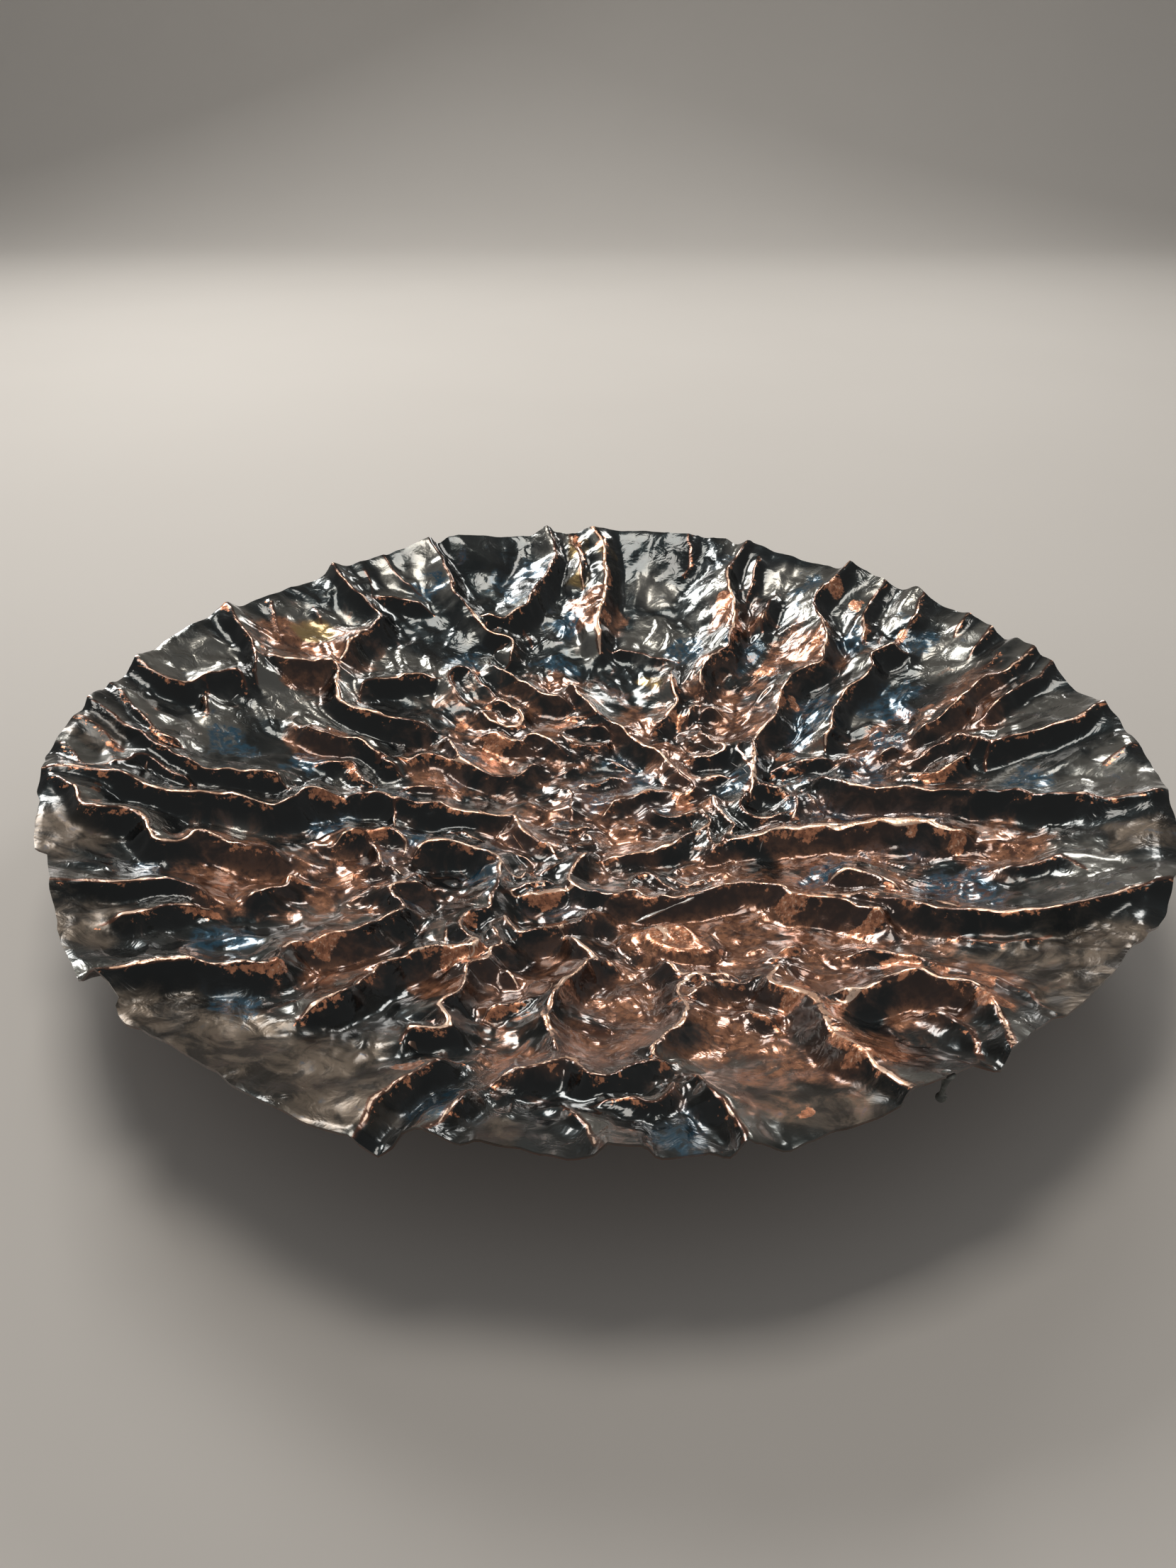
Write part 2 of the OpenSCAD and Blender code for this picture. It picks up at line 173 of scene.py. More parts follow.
# The same for the middle of the tray, with each crest as (x, y) in mm.
MIDDLE_FOLDS = [
    # left of the middle
    (10, 1.3, [(-112, -4), (-93.5, -1), (-91, -4), (-77, -4), (-68, -3), (-52, -5), (-38, -1.5),
               (-35, -7.5), (-33, -12.5), (-26, -21), (-20, -25), (-18, -30)]),
    (5, 0.9, [(-91, -4), (-88.5, -12), (-87, -20)]),
    (9, 1.2, [(-111, -41), (-104, -32.5), (-95, -29), (-85.5, -28.5), (-81, -35.5), (-81.5, -39)]),
    (6, 1.1, [(-99, -31), (-95, -36), (-88, -50), (-99, -54)]),
    (7, 1.1, [(-88, -49), (-85, -53), (-76, -57.5)]),
    (8, 1.2, [(-91.5, -64), (-86, -68.5), (-79, -66.5), (-73.5, -58), (-65.5, -54.5)]),
    (10, 1.2, [(-78.5, -42.5), (-71, -33.5), (-62, -31), (-52, -31), (-45, -36), (-40, -40.5),
               (-40, -60), (-41, -73.5), (-43, -79), (-49, -82.5), (-52, -91.5), (-51.5, -96),
               (-46, -103.5), (-44.3, -107.5), (-47.3, -110.5), (-57, -110), (-67, -114),
               (-73, -117.5)]),
    (7, 1.1, [(-57, -119), (-53.5, -121), (-49.5, -119), (-44, -110)]),
    (4, 0.9, [(-57, -88), (-57.3, -94.5), (-57, -107)]),
    (5, 1.0, [(-63.5, -17), (-59, -15.5), (-52.5, -20), (-46, -26.5)]),
    (4, 0.9, [(-60, -20.5), (-59, -26), (-52, -31.5)]),
    (4, 0.9, [(-40, -13.5), (-37, -13.5), (-31.5, -24.5)]),
    (5, 1.0, [(-44, -30.5), (-40, -29.5), (-30.5, -31.5), (-27, -36)]),
    (6, 1.0, [(-39.5, -41), (-36, -46), (-32, -49), (-28, -41), (-27.5, -38)]),
    (6, 1.0, [(-26, -41), (-23, -43.5), (-16, -36), (-12, -33.5)]),
    # the two cells left of the near middle
    (8, 1.0, [(-38, -66), (-35.5, -61), (-26.5, -52.5), (-17.5, -52), (-15.5, -55.5)]),
    (8, 2.0, [(-35, -63), (-26, -63), (-20, -60), (-7.5, -56)]),
    (9, 1.0, [(-35.3, -76), (-36, -87), (-29.7, -95.3), (-22.5, -92.8), (-15, -91),
              (-3.3, -82.3), (-2.4, -77.7), (-5.8, -70.5)]),
    (9, 1.3, [(-14.3, -91.5), (-8.2, -99), (-0.5, -113), (-4, -115.5), (-13.8, -135),
              (-15.2, -148), (-16.6, -155), (-13.3, -164)]),
    (5, 1.0, [(-37.7, -113), (-28.5, -125.5), (-25, -128)]),
    (6, 1.0, [(-19.3, -124), (-16.3, -129.5), (-18.3, -136.5), (-37, -145), (-39, -149.5)]),
    (5, 1.0, [(1.3, -105), (3.7, -110.7), (9.5, -115.3)]),
    # the middle
    (7, 1.0, [(-25.5, -6), (-16, -8.7), (-1.5, -5), (0, -2)]),
    (6, 1.0, [(-9, -9), (-5, -11), (-0.5, -19), (-16, -20)]),
    (5, 0.9, [(-25, -22), (-20.5, -23.5), (-17, -31.5), (-14, -31.5), (-8, -23)]),
    (7, 1.0, [(-17, 27), (-13, 23), (-11, 14), (-11.5, -2)]),
    (4, 0.9, [(-20.5, 12), (-16.5, 14.5), (-13, 14.5)]),
    (7, 1.1, [(3, 3), (9, 12.5), (19, 17.5), (25, 20), (36, 18.5), (40, 15.5), (46, 20.5)]),
    (8, 1.1, [(24, 11), (28.5, 1), (33, -1.5), (38, -2), (44.5, 1), (48, 0.5), (50.3, -9.5),
              (40, -17), (36, -22), (31.5, -26), (21.5, -27.5), (11.5, -30.5), (1, -31.5)]),
    (5, 0.9, [(19, -2), (18.5, -7.5), (17, -13.5)]),
    # the long fold over the wide dark valley, and what stands behind it
    (10, 1.3, [(-1.5, -25), (-7.7, -38.5), (-11, -51), (-6, -59.7), (0, -65), (6, -68.3),
               (15.5, -64.5), (21, -68), (40.7, -65.4), (63.6, -63.2), (72, -68), (78, -77),
               (95, -85), (103.5, -93.5), (108, -101)]),
    (6, 1.0, [(15.3, -61.3), (13.5, -56), (14.3, -50), (20.5, -44.5), (29.3, -54.5),
              (37.5, -60.3)]),
    (6, 1.0, [(25, -42), (29.5, -43.5), (38.8, -54.4), (48, -47)]),
    (4, 0.9, [(32.5, -34.5), (36.3, -41.5)]),
    (8, 1.1, [(54.3, 18), (55, 2.7), (60, -10.7), (60.5, -15.8), (54, -26.5), (50.7, -25.3),
              (50.2, -6.3)]),
    (9, 2.0, [(59.7, -22), (69.6, -28), (79, -24), (87, -27.5), (96, -27), (105, -31.7),
              (117.5, -31), (126, -36.5), (136, -38.5), (148.7, -50)]),
    (7, 1.0, [(71, 18), (66, 6), (66, -0.5), (71, -8), (82.5, -10), (87, -5)]),
    (5, 0.9, [(84, 9), (88, 7), (91, -1.5), (86.5, -14)]),
    (5, 0.9, [(94.5, 12), (96, 5), (101, -9)]),
    # the brown bowl far left of the middle
    (8, 1.1, [(-73.5, 57.5), (-67, 41.5), (-61.5, 36), (-48, 28), (-35.6, 30.5), (-30, 39),
              (-24.5, 44.5)]),
    (8, 1.2, [(-60, 61), (-50, 60.7), (-44.4, 56.5), (-36.4, 56.3), (-31.7, 63.8), (-23.7, 60),
              (-13.5, 50)]),
    (7, 1.0, [(-103.5, 30), (-96, 27.5), (-90, 24)]),
    (5, 1.0, [(-97, 37), (-88, 35.5), (-79, 41), (-63, 35.5), (-58.5, 33)]),
    (5, 0.9, [(-130.5, 20), (-116.3, 24), (-112.7, 24), (-106, 12.5), (-97, 14)]),
    (4, 0.9, [(-90, 10.7), (-87.5, 15), (-79, 18), (-70, 20)]),
    (7, 1.0, [(-118, 76), (-115, 87), (-100, 94), (-95, 98), (-80, 103)]),
    (5, 0.9, [(-64, 85), (-71, 91.5), (-75.5, 103), (-72, 110), (-60, 113)]),
    (5, 0.9, [(-64, 116), (-63, 108), (-55, 97), (-48, 88.5)]),
    (6, 1.5, [(-56, 88), (-44.6, 87), (-36.8, 78), (-40, 69.7), (-51, 71.3), (-61.3, 83.5)]),
    # the far middle
    (9, 1.1, [(-56, 119), (-52, 112), (-42.5, 103), (-32, 97.5), (-26, 93), (-10.7, 88)]),
    (9, 1.2, [(-16.7, 105), (-3.2, 86.5), (4.3, 76.3), (13, 68.7), (23.8, 53.3), (31.5, 48.2),
              (39, 29.5), (46.4, 20.8), (44.8, 17), (38, 14)]),
    (5, 0.9, [(10, 65), (4, 72), (-5, 73), (-14, 69), (-16, 63), (-8, 57), (3, 58), (10, 65)]),
    (4, 0.9, [(-16.3, 81), (-5, 80), (0, 79.5)]),
    (4, 1.1, [(8.3, 52), (7.5, 48), (17.2, 42.3)]),
    (5, 1.1, [(14.8, 36.3), (7, 31), (-3.8, 28.5), (-11.4, 25.5)]),
    (4, 0.9, [(-19, 38), (-13, 39), (-8.3, 45)]),
    (9, 1.2, [(42.3, 117.5), (40, 101), (42.3, 88), (40.4, 82), (33, 71), (28.2, 65.7)]),
    (5, 0.9, [(66, 118), (55.6, 110.5), (52, 105.5)]),
    (4, 0.9, [(56.3, 100), (56, 94), (51, 93)]),
    (7, 1.0, [(58.3, 87), (50, 81.7), (46.5, 74.5), (47, 70.5)]),
    (8, 1.1, [(52.7, 70.5), (52.7, 60), (58.6, 52.3), (62.8, 45.5), (60.8, 41.8), (50.5, 41.8),
              (43, 46.3)]),
    (6, 0.9, [(52, 74.5), (58, 80.5), (66, 76.5)]),
    (8, 1.0, [(74.5, 53.5), (68.4, 45.3), (70.5, 34.8), (73, 24), (70.7, 11), (67.8, 6.5)]),
    (6, 1.2, [(46, 24.5), (49, 25.8), (58.3, 27), (67.2, 25.5)]),
    (5, 1.0, [(26.3, 34), (31, 32.7), (35.4, 21.3)]),
    (7, 1.1, [(74.2, 38.9), (74.5, 23.8), (74.8, 17.5), (81.7, 12.6), (89.4, 7.5)]),
    (7, 1.0, [(83.5, 27), (86.5, 29), (101.5, 30), (113.3, 28.3)]),
    (5, 0.9, [(87.7, 22.3), (91, 25.3), (97.5, 25)]),
    # right of the middle
    (6, 1.0, [(114.5, 27), (119.3, 18.6)]),
    (5, 1.0, [(131, 23.5), (133, 26.5), (142.7, 27)]),
    (6, 1.2, [(140.2, 12.5), (140, 6), (144.8, 1.5), (152, 0.2), (170, 11.5)]),
    (5, 0.9, [(142.5, 20.7), (147.7, 15.5), (156, 20), (164.5, 20), (174, 12), (182.7, 9.5)]),
    (7, 1.3, [(78.7, -73), (100, -79.4), (125.3, -91.5), (133.3, -101), (140.5, -111)]),
    (6, 1.6, [(91.5, -63), (98.5, -59.5), (103.7, -60), (110.7, -67), (119.7, -80)]),
    # round the copper dome
    (5, 1.6, [(17, -90), (21, -88), (24, -90.5), (25.5, -96), (23, -103)]),
    (9, 1.3, [(24.3, -110), (27, -121.7), (36.7, -129.5), (33, -137.7), (27.3, -139)]),
    (7, 1.1, [(37, -129.3), (45, -130), (51, -130), (59.3, -121), (61, -122)]),
    (8, 1.3, [(69, -118), (64.5, -122.5), (59.8, -131), (63, -138), (69.3, -145),
              (71.3, -156.5), (77.7, -173.5)]),
    (6, 1.2, [(27.5, -140.5), (30, -150), (25.8, -159.7), (16, -168)]),
    (6, 1.0, [(43, -148), (50.7, -146.5), (56, -153), (61.5, -158.5)]),
    (7, 1.3, [(73, -154.5), (83, -148.5), (92, -144)]),
    (5, 1.0, [(55.5, -114), (65, -115), (75.7, -112)]),
    (5, 1.2, [(65.7, -109.5), (77, -105.5)]),
]

# Rounded swellings: x, y, half length, half width, turn in degrees, height, all lengths in mm.
SWELLINGS = [
    (28, -96, 20, 15, -20, 7), (52.5, -49.5, 5, 4, 0, 4), (59, -103.5, 5, 3, 20, 3),
    (114.5, -6, 5, 4, 0, 3), (-55, -84, 4, 4, 0, 3),
]

# Patches of colour: percent of the radius, degrees, half width in mm. "warm" is a wide brown
# tinge, "dull" the matt panels at the near rim, "ink" places darkened to near-black together
# with the painted shade on the folds' steep sides, and "pale" a painted silver sheen.
PATCHES = {
    "copper": [
        (78, 66.5, 8), (92, 50.7, 6), (73, 44.5, 7), (62.5, 50, 9), (79, 309, 10), (85, 309.5, 10),
        (91, 307, 9), (73, 309.5, 8), (85, 252, 9), (78, 231, 5), (74.5, 18.5, 5),
        (80.5, 145, 7), (94, 286, 6), (42, 285, 13), (72, 296, 8), (78, 295, 9), (84, 294, 9),
        (90, 294, 9),
        (60, 345, 6), (70, 341, 6), (70, 88, 5), (47, 288, 12), (30, 138, 9),
        (20, 12, 6), (33, 132, 8), (52, 204, 5), (62, 315, 8), (44, 133, 7), (36, 100, 6),
        (55, 245, 6), (93, 88.7, 5), (84, 88, 5), (77, 88, 5), (50, 315, 8), (38, 60, 6),
        (90, 45, 6), (57, 38, 6), (45, 22, 6), (61, 210, 7), (66, 229, 5), (86, 34.5, 5),
    ],
    "brown": [
        (30, 138, 17), (64, 207, 15), (74, 210, 15), (56, 322, 24), (45, 318, 18),
        (48, 287, 22), (60, 275, 20), (70, 290, 22), (30, 290, 16), (72, 270, 16),
        (75, 148, 15), (86, 145, 16), (20, 20, 14), (25, 50, 13), (33, 75, 12), (42, 40, 14),
        (66, 300, 18), (84, 308, 20), (60, 250, 18), (68, 233, 16), (75, 340, 18),
        (52, 345, 16), (38, 345, 14), (52, 300, 18), (62, 308, 18), (40, 300, 16), (66, 283, 16),
        (58, 268, 14), (35, 310, 16), (45, 335, 14), (70, 330, 12), (30, 320, 14), (10, 60, 12),
        (76, 62, 14), (70, 46, 18), (72, 90, 13), (45, 100, 14),
        (35, 160, 15), (15, 200, 16), (12, 300, 14), (60, 165, 12), (85, 18, 14),
        (80, 12, 14), (86, 293, 16), (80, 263, 14), (52, 262, 12),
    ],
    "warm": [
        (0, 0, 50), (45, 290, 70), (32, 120, 50), (60, 318, 50), (46, 50, 42), (56, 350, 42),
        (50, 212, 45), (74, 288, 42), (70, 205, 30), (78, 142, 26), (58, 255, 34), (62, 10, 34),
    ],
    "blue": [
        (84, 102, 15), (56, 33, 13), (88, 34.5, 10), (71, 25, 12), (61, 347, 15), (71, 331, 13),
        (86, 232, 7), (76, 222, 6), (84, 205, 6), (12, 90, 8), (16, 55, 8), (30, 18, 9),
        (91, 257.5, 10), (95, 276, 8), (47, 223, 9), (43, 205, 8), (13, 16, 8),
        (5, 117, 8), (21, 75, 7), (51, 29, 9), (42, 357, 9), (80, 40, 9), (66, 58, 9),
        (60, 170, 9), (52, 190, 8), (70, 95, 8), (38, 200, 7), (30, 225, 7), (86, 120, 9),
        (62, 120, 9), (55, 8, 9), (64, 14, 8), (92, 68, 6), (82, 265, 9), (30, 262, 9),
        (33, 240, 8), (48, 330, 9), (63, 70, 10), (57, 100, 8), (80, 219, 8), (40, 178, 8),
        (90, 54, 8), (82, 355, 8), (75, 172, 8), (50, 353, 9),
        (46, 12, 9), (8, 200, 7), (58, 350, 9), (32, 150, 9), (24, 215, 7),
    ],
    "gold": [(92, 93, 8), (84, 92.5, 7), (85, 140, 12), (90, 88, 5), (50, 75, 9), (95, 92, 6)],
    "dull": [
        (94, 237, 26), (90, 246, 24), (95, 250, 16), (96, 230, 16), (88, 315, 22),
        (94, 320, 24), (97, 312, 22), (92, 286, 16), (97, 199, 18), (96, 214, 18),
        (97, 290, 14), (96, 262, 10), (97, 340, 12), (95, 180, 12),
    ],
    "ink": [
        (28, 247, 14), (37, 256, 13), (50, 256, 15), (20, 241, 10), (41, 229, 12), (92, 76, 16),
        (90, 70, 10), (90, 104, 14), (83, 103, 10), (72, 150, 12), (84, 147, 10), (60, 346, 12),
        (68, 341, 12), (76, 12, 12), (78, 20, 10), (88, 45, 9), (88, 36, 9), (66, 125, 12),
        (58, 145, 12), (48, 150, 10), (20, 150, 8), (92, 125, 9), (90, 20, 9), (80, 60, 9),
    ],
    "pale": [
        (90, 158, 22), (86, 139, 14), (66, 76, 16), (75, 277, 14), (78, 287, 16),
        (90, 58, 14), (88, 27, 16), (90, 8, 16), (93, 351, 18), (70, 186, 14),
        (66, 192, 14), (74, 211, 10), (72, 155, 18), (68, 135, 18), (80, 170, 14),
        (88, 335, 16), (72, 318, 10), (60, 220, 10), (60, 283, 9), (46, 10, 10), (92, 38, 12),
        (60, 130, 16), (50, 170, 12), (64, 25, 10), (90, 122, 14), (83, 80, 14), (80, 355, 14),
    ],
}

# The cut edge, going round: degrees, and how far it is pushed out and up, in mm.
RIM_SHAPE = [
    # right
    (0, 4, 1), (2, 4.5, 1.5), (4, 2, 1.5), (6, 0.5, 1), (10, 0, 0), (18, 0, 0.5), (20, 0, 1),
    (22, 0.5, 2), (24, 0, -1.5), (27, 0, 0), (30, 0, 1.5), (32, 0, 0.5), (36, 0, 0.5), (38, 0, 0.5),
    # the far side
    (39.4, 0.5, 2.5), (42, 0, -1), (44, 0, -1), (46, 0, 1), (48, 0.5, 3), (50.3, 0.5, 3),
    (52, 0, -2), (54, 0, 0), (58, 0, 1), (60, 0, 2.5), (62, 0, 2.5), (64, 0, 4), (66, 0.5, 2.5),
    (68, 0, 0), (70, 0, 5), (74, 0, 5), (78, 0, 5), (82, 0, 6), (86, 0, 5.5), (88, 0, 5.5),
    (90, 0, 3), (94, 0, 0), (96, 0, 3), (97, 0.5, 4.5), (98, 0, 3.5), (100, 0, 2), (104, 0, 3.5),
    (107, 0, 6), (110, 0, 7.5), (112, 0, 7), (114, 0, 2.5), (115, 0.5, 5), (118, 0, 5), (120, 0, 5),
    (122, 0, 2.5), (124, 0, 3), (126, 0, 2.5), (128, 0, 1.5), (130.2, 0.5, 2.5), (132, 0, -1),
    (138, 0, 0), (142, 0, 1), (146, -0.5, -1), (148, 1, 2), (150, 1, 3), (154, 1, 3.5),
    # left
    (158, 1, 3), (162, 1, 2), (164, 1, 2), (166, 1, 1), (170, 0, 0), (172, 1, 1), (174, 1.5, 2.5),
    (176, 2, 2), (178, 3.5, 2), (180, 4, 3), (182, 4, 2), (184, 4, 1), (186, 5, 0.5), (188, 3, 1),
    (190, 3, 0), (192, 3.5, 0), (194, 1.5, 0), (198, 1, 0), (202.2, 1, 0), (203, -3, 0.5),
    (206, -3.5, 0), (208.5, -3.5, 0.5), (210, -2, 0), (214, -1.5, 0), (216, 0, 0), (218, 1, 0),
    (221, 2, -0.5), (222.2, 2.5, -2), (223, 3, -4), (223.6, 2, -3.5), (224.3, -1, 1),
    (226, -3, 1.5), (227.2, -3, 0.5), (228, 0, -2), (229, 1, -2), (230, 1.5, -1.5), (232, 0, 0),
    # the near side
    (234, -1, 0.5), (240, -1, 0.5), (242, 0, 0), (246, 1, -0.3), (249, 2, -1.5), (252, 2.5, -2.5),
    (253.2, 3.5, -4), (254.6, 4, -4.5), (255.4, 2, -2), (256, -1, 1.5), (257, -2, 2.5),
    (258, -2, 1.5), (260, -1.2, 1.2), (261.5, -2.5, 2.8), (264, -2.3, 2.7), (266, -1.5, 1),
    (268, 0, 0), (269.7, 0, 0), (270.4, -2.5, 2.7), (273, -3, 2.8), (274, 0, 0), (277.5, 0, 0),
    (279, 1.5, -2), (279.6, 1, -1), (280.1, -0.5, 1), (281, 0.3, 0), (283, 2, -1.7), (284.5, 1.2, -0.5),
    (287, 0, 0), (292, 0, 0), (292.8, -1.5, 2), (294, -2, 3), (296, -2, 4.5), (298, -2.5, 5),
    (299.2, -2.5, 4), (300, -0.5, 0), (300.8, 1.8, -2), (301.6, 1.2, -1.5), (302.2, 0, 1),
    (304, -1, 1.2), (306, -2.5, 2), (308, -2.5, 2.5), (310, 0, 0.5),
    # right again
    (314, -0.5, 0), (320, 0, 0), (322, 0.5, 0), (324, 3, 0), (326, 5, 0), (328, 6, 0), (330, 5.5, 0),
    (332, 5, 0), (333, 6.5, 0), (338, 7, 0.5), (342, 7, 1.5), (346, 5.5, 1), (350, 6, 1),
    (353, 5.5, 1), (356, 4.5, 1), (358, 3, 2),
]


def from_polar(points):
    """(percent of the radius, degrees) to (x, y) in mm."""
    return [(RADIUS * p / 100 * math.cos(math.radians(a)), RADIUS * p / 100 * math.sin(math.radians(a)))
            for p, a in points]


def rounded(points, steps=3):
    """The line through the points as a smooth curve, with steps spans between each two."""
    p = np.array([points[0]] + list(points) + [points[-1]], float)
    out = []
    for i in range(1, len(p) - 2):
        for t in np.arange(steps) / steps:
            out.append(0.5 * (2 * p[i] + (p[i + 1] - p[i - 1]) * t
                              + (2 * p[i - 1] - 5 * p[i] + 4 * p[i + 1] - p[i + 2]) * t * t
                              + (3 * p[i] - p[i - 1] - 3 * p[i + 1] + p[i + 2]) * t ** 3))
    out.append(p[-2])
    return np.array(out)


# ---------------------------------------------------------------- noise

def ease(v):
    """0 to 1 as v goes from 0 to 1, level at both ends."""
    v = np.clip(v, 0, 1)
    return v * v * (3 - 2 * v)


def lattice(i, j, seed):
    """A repeatable number from 0 to 1 for each pair of whole numbers."""
    n = (i * 374761393 + j * 668265263 + seed * 1442695041) & 0xFFFFFFFF
    n = ((n ^ (n >> 13)) * 1274126177) & 0xFFFFFFFF
    return ((n ^ (n >> 16)) & 0xFFFFFF) / 0xFFFFFF


def noise(x, y, size, seed):
    """Smooth noise from about -1 to 1 whose bumps are about size across."""
    x, y = x / size, y / size
    i, j = np.floor(x).astype(np.int64), np.floor(y).astype(np.int64)
    fx, fy = x - i, y - j
    u, v = fx ** 3 * (fx * (6 * fx - 15) + 10), fy ** 3 * (fy * (6 * fy - 15) + 10)

    def slope(di, dj):
        turn = 2 * math.pi * lattice(i + di, j + dj, seed)
        return np.cos(turn) * (fx - di) + np.sin(turn) * (fy - dj)

    low = slope(0, 0) * (1 - u) + slope(1, 0) * u
    high = slope(0, 1) * (1 - u) + slope(1, 1) * u
    return 1.6 * (low * (1 - v) + high * v)


def along_noise(way, size, seed):
    """Noise along a line, for the distances way."""
    return noise(way, way * 0 + 0.37 * size, size, seed)


# ---------------------------------------------------------------- the sheet's shape

# A fold is a step: it drops steeply on the side it leans to, and slopes away gently behind.
BACK_REACH = 25.0      # mm, how far the slope behind a crest runs
STEEP = 4.6            # mm, how fast a fold falls away on its steep side
CREST_ROUND = 0.8      # mm, how round a crest is
BLEND = 6              # how sharply folds meet
RIM_LOSS = 0.5         # share of its height that a fold has lost where it meets the rim
MIDDLE_LOSS = 0.40     # and in the middle of the tray
TROUGH = 0.24          # depth of the trough at a fold's foot, as a share of its height
TROUGH_AT = 9.0        # mm from the crest
PULL_REACH = 5.0       # mm, how far the net's points are drawn toward a crest
PULL = 0.5             # how much of the way they are drawn

# Which way the folds lean, in degrees, at each direction from the middle, and in the middle.
LEANS = [(0, -70), (45, -45), (90, -25), (115, -40), (133, -45), (143, -150), (165, -120),
         (180, -108), (210, -95), (240, -65), (265, -80), (280, -120), (300, -130), (312, -105),
         (340, -85), (360, -70)]
MIDDLE_LEAN = -75


def lean_of(line):
    """The direction a fold leans to, as a unit vector."""
    x, y = line[len(line) // 2]
    turn = np.interp(math.degrees(math.atan2(y, x)) % 360, *zip(*LEANS))
    share = float(ease((math.hypot(x, y) / RADIUS - 0.25) / 0.25))
    turn = math.radians(MIDDLE_LEAN + (turn - MIDDLE_LEAN) * share)
    return math.cos(turn), math.sin(turn)


def nearest(px, py, line):
    """For each place: distance to the line, its nearest point, and how far along that is."""
    best = np.full(len(px), 1e9)
    along, cx, cy = np.zeros(len(px)), px.copy(), py.copy()
    run = 0.0
    for (ax, ay), (bx, by) in zip(line[:-1], line[1:]):
        dx, dy = bx - ax, by - ay
        length = math.hypot(dx, dy)
        if length < 1e-6:
            continue
        t = np.clip(((px - ax) * dx + (py - ay) * dy) / length ** 2, 0, 1)
        qx, qy = ax + t * dx, ay + t * dy
        d2 = (px - qx) ** 2 + (py - qy) ** 2
        closer = d2 < best
        best = np.where(closer, d2, best)
        along = np.where(closer, run + t * length, along)
        cx, cy = np.where(closer, qx, cx), np.where(closer, qy, cy)
        run += length
    return np.sqrt(best), cx, cy, along, run


def fold(px, py, height, wear, line):
    """What one fold does at each place: its rise, its trough, its marks, the distance and the
    way to the crest. The marks are how near the worn line on its crest is, how near the copper
    that has come through below it is, and how much of its steep side and of its back is there."""
    d, cx, cy, along, run = nearest(px, py, line)
    crest = CREST_ROUND * wear ** 1.5
    soft = np.sqrt(d ** 2 + crest ** 2)
    lean = lean_of(line)
    side = ((px - cx) * lean[0] + (py - cy) * lean[1]) / soft
    front = ease(0.5 + 0.75 * side)
    reach = BACK_REACH * (0.35 + 0.065 * height)
    back_share = np.clip(1 - (soft - crest) / reach, 0, 1) ** 1.7
    front_share = np.exp(-(soft - crest) / (STEEP * (0.45 + 0.055 * height)))
    front_share *= ease((reach - d) / 8)
    tail = min(9.0, run * 0.4)
    at_rim = [math.hypot(*line[k]) > 0.965 * RADIUS for k in (0, -1)]
    start = 1.0 if at_rim[0] else 0.4 + 0.6 * ease(along / tail)
    end = 1.0 if at_rim[1] else 0.4 + 0.6 * ease((run - along) / tail)
    size = height * start * end * (1 + 0.2 * along_noise(along + 3 * run, 11.0, 5))
    rise = size * (back_share + (front_share - back_share) * front)
    trough = size * TROUGH * front * np.exp(-((d - TROUGH_AT) / 4.5) ** 2)
    width = (0.6 + 0.4 * along_noise(along + run, 16.0, 8)) * wear ** 1.5 * np.minimum(start, end)
    patchy = along_noise(along + 7 * run, 21.0, 6)
    band = 1.0 * wear + 5.0 * wear * np.clip(1.8 * patchy - 1.1 + 0.5 * wear, 0, 1)
    # The third mark, the steep side, is where shade is painted; the fourth, the back, is where a sheen is
    # painted.
    marks = (np.clip(0.5 + (width - d * (1 + 1.2 * front)) / 12, 0, 1),
             np.clip(0.5 + (band - 1.3 * d) / 24, 0, 1) * front,
             front * np.exp(-(d / 9) ** 2) * ease(size / 6),
             (1 - front) * np.exp(-d / 12) * ease(size / 6))
    return rise, trough, marks, d, cx - px, cy - py


def all_folds():
    rows = [(h, w, rounded(from_polar(p))) for h, w, p in RIM_FOLDS]
    return rows + [(h, w, rounded(p)) for h, w, p in MIDDLE_FOLDS]


FOLDS = all_folds()      # (height, wear, crest line in mm) for each fold


def warped(x, y):
    """The places with a little wandering, so that no crest is a smooth drawn line."""
    return (x + 1.2 * noise(x, y, 13, 1) + 0.5 * noise(x, y, 5, 2),
            y + 1.2 * noise(x, y, 13, 3) + 0.5 * noise(x, y, 5, 4))


def by_fold(x, y):
    """Each fold's part of the sheet: which places it reaches, and what it does there."""
    for height, wear, line in FOLDS:
        lo, hi = line.min(0) - BACK_REACH, line.max(0) + BACK_REACH
        near = np.flatnonzero((x > lo[0]) & (x < hi[0]) & (y > lo[1]) & (y < hi[1]))
        yield near, fold(x[near], y[near], height, wear, line)


def drawn_to_crests(x, y):
    """The places moved toward the nearest crest, so that the net is finest there."""
    wx, wy = warped(x, y)
    best = np.full_like(x, 1e9)
    dx, dy = np.zeros_like(x), np.zeros_like(x)
    for near, (_, _, _, d, to_x, to_y) in by_fold(wx, wy):
        closer = d < best[near]
        best[near] = np.where(closer, d, best[near])
        dx[near] = np.where(closer, to_x, dx[near])
        dy[near] = np.where(closer, to_y, dy[near])
    pull = PULL * np.clip(1 - best / PULL_REACH, 0, 1)
    pull *= ease((0.985 - np.hypot(x, y) / RADIUS) / 0.03)
    return x + pull * dx, y + pull * dy


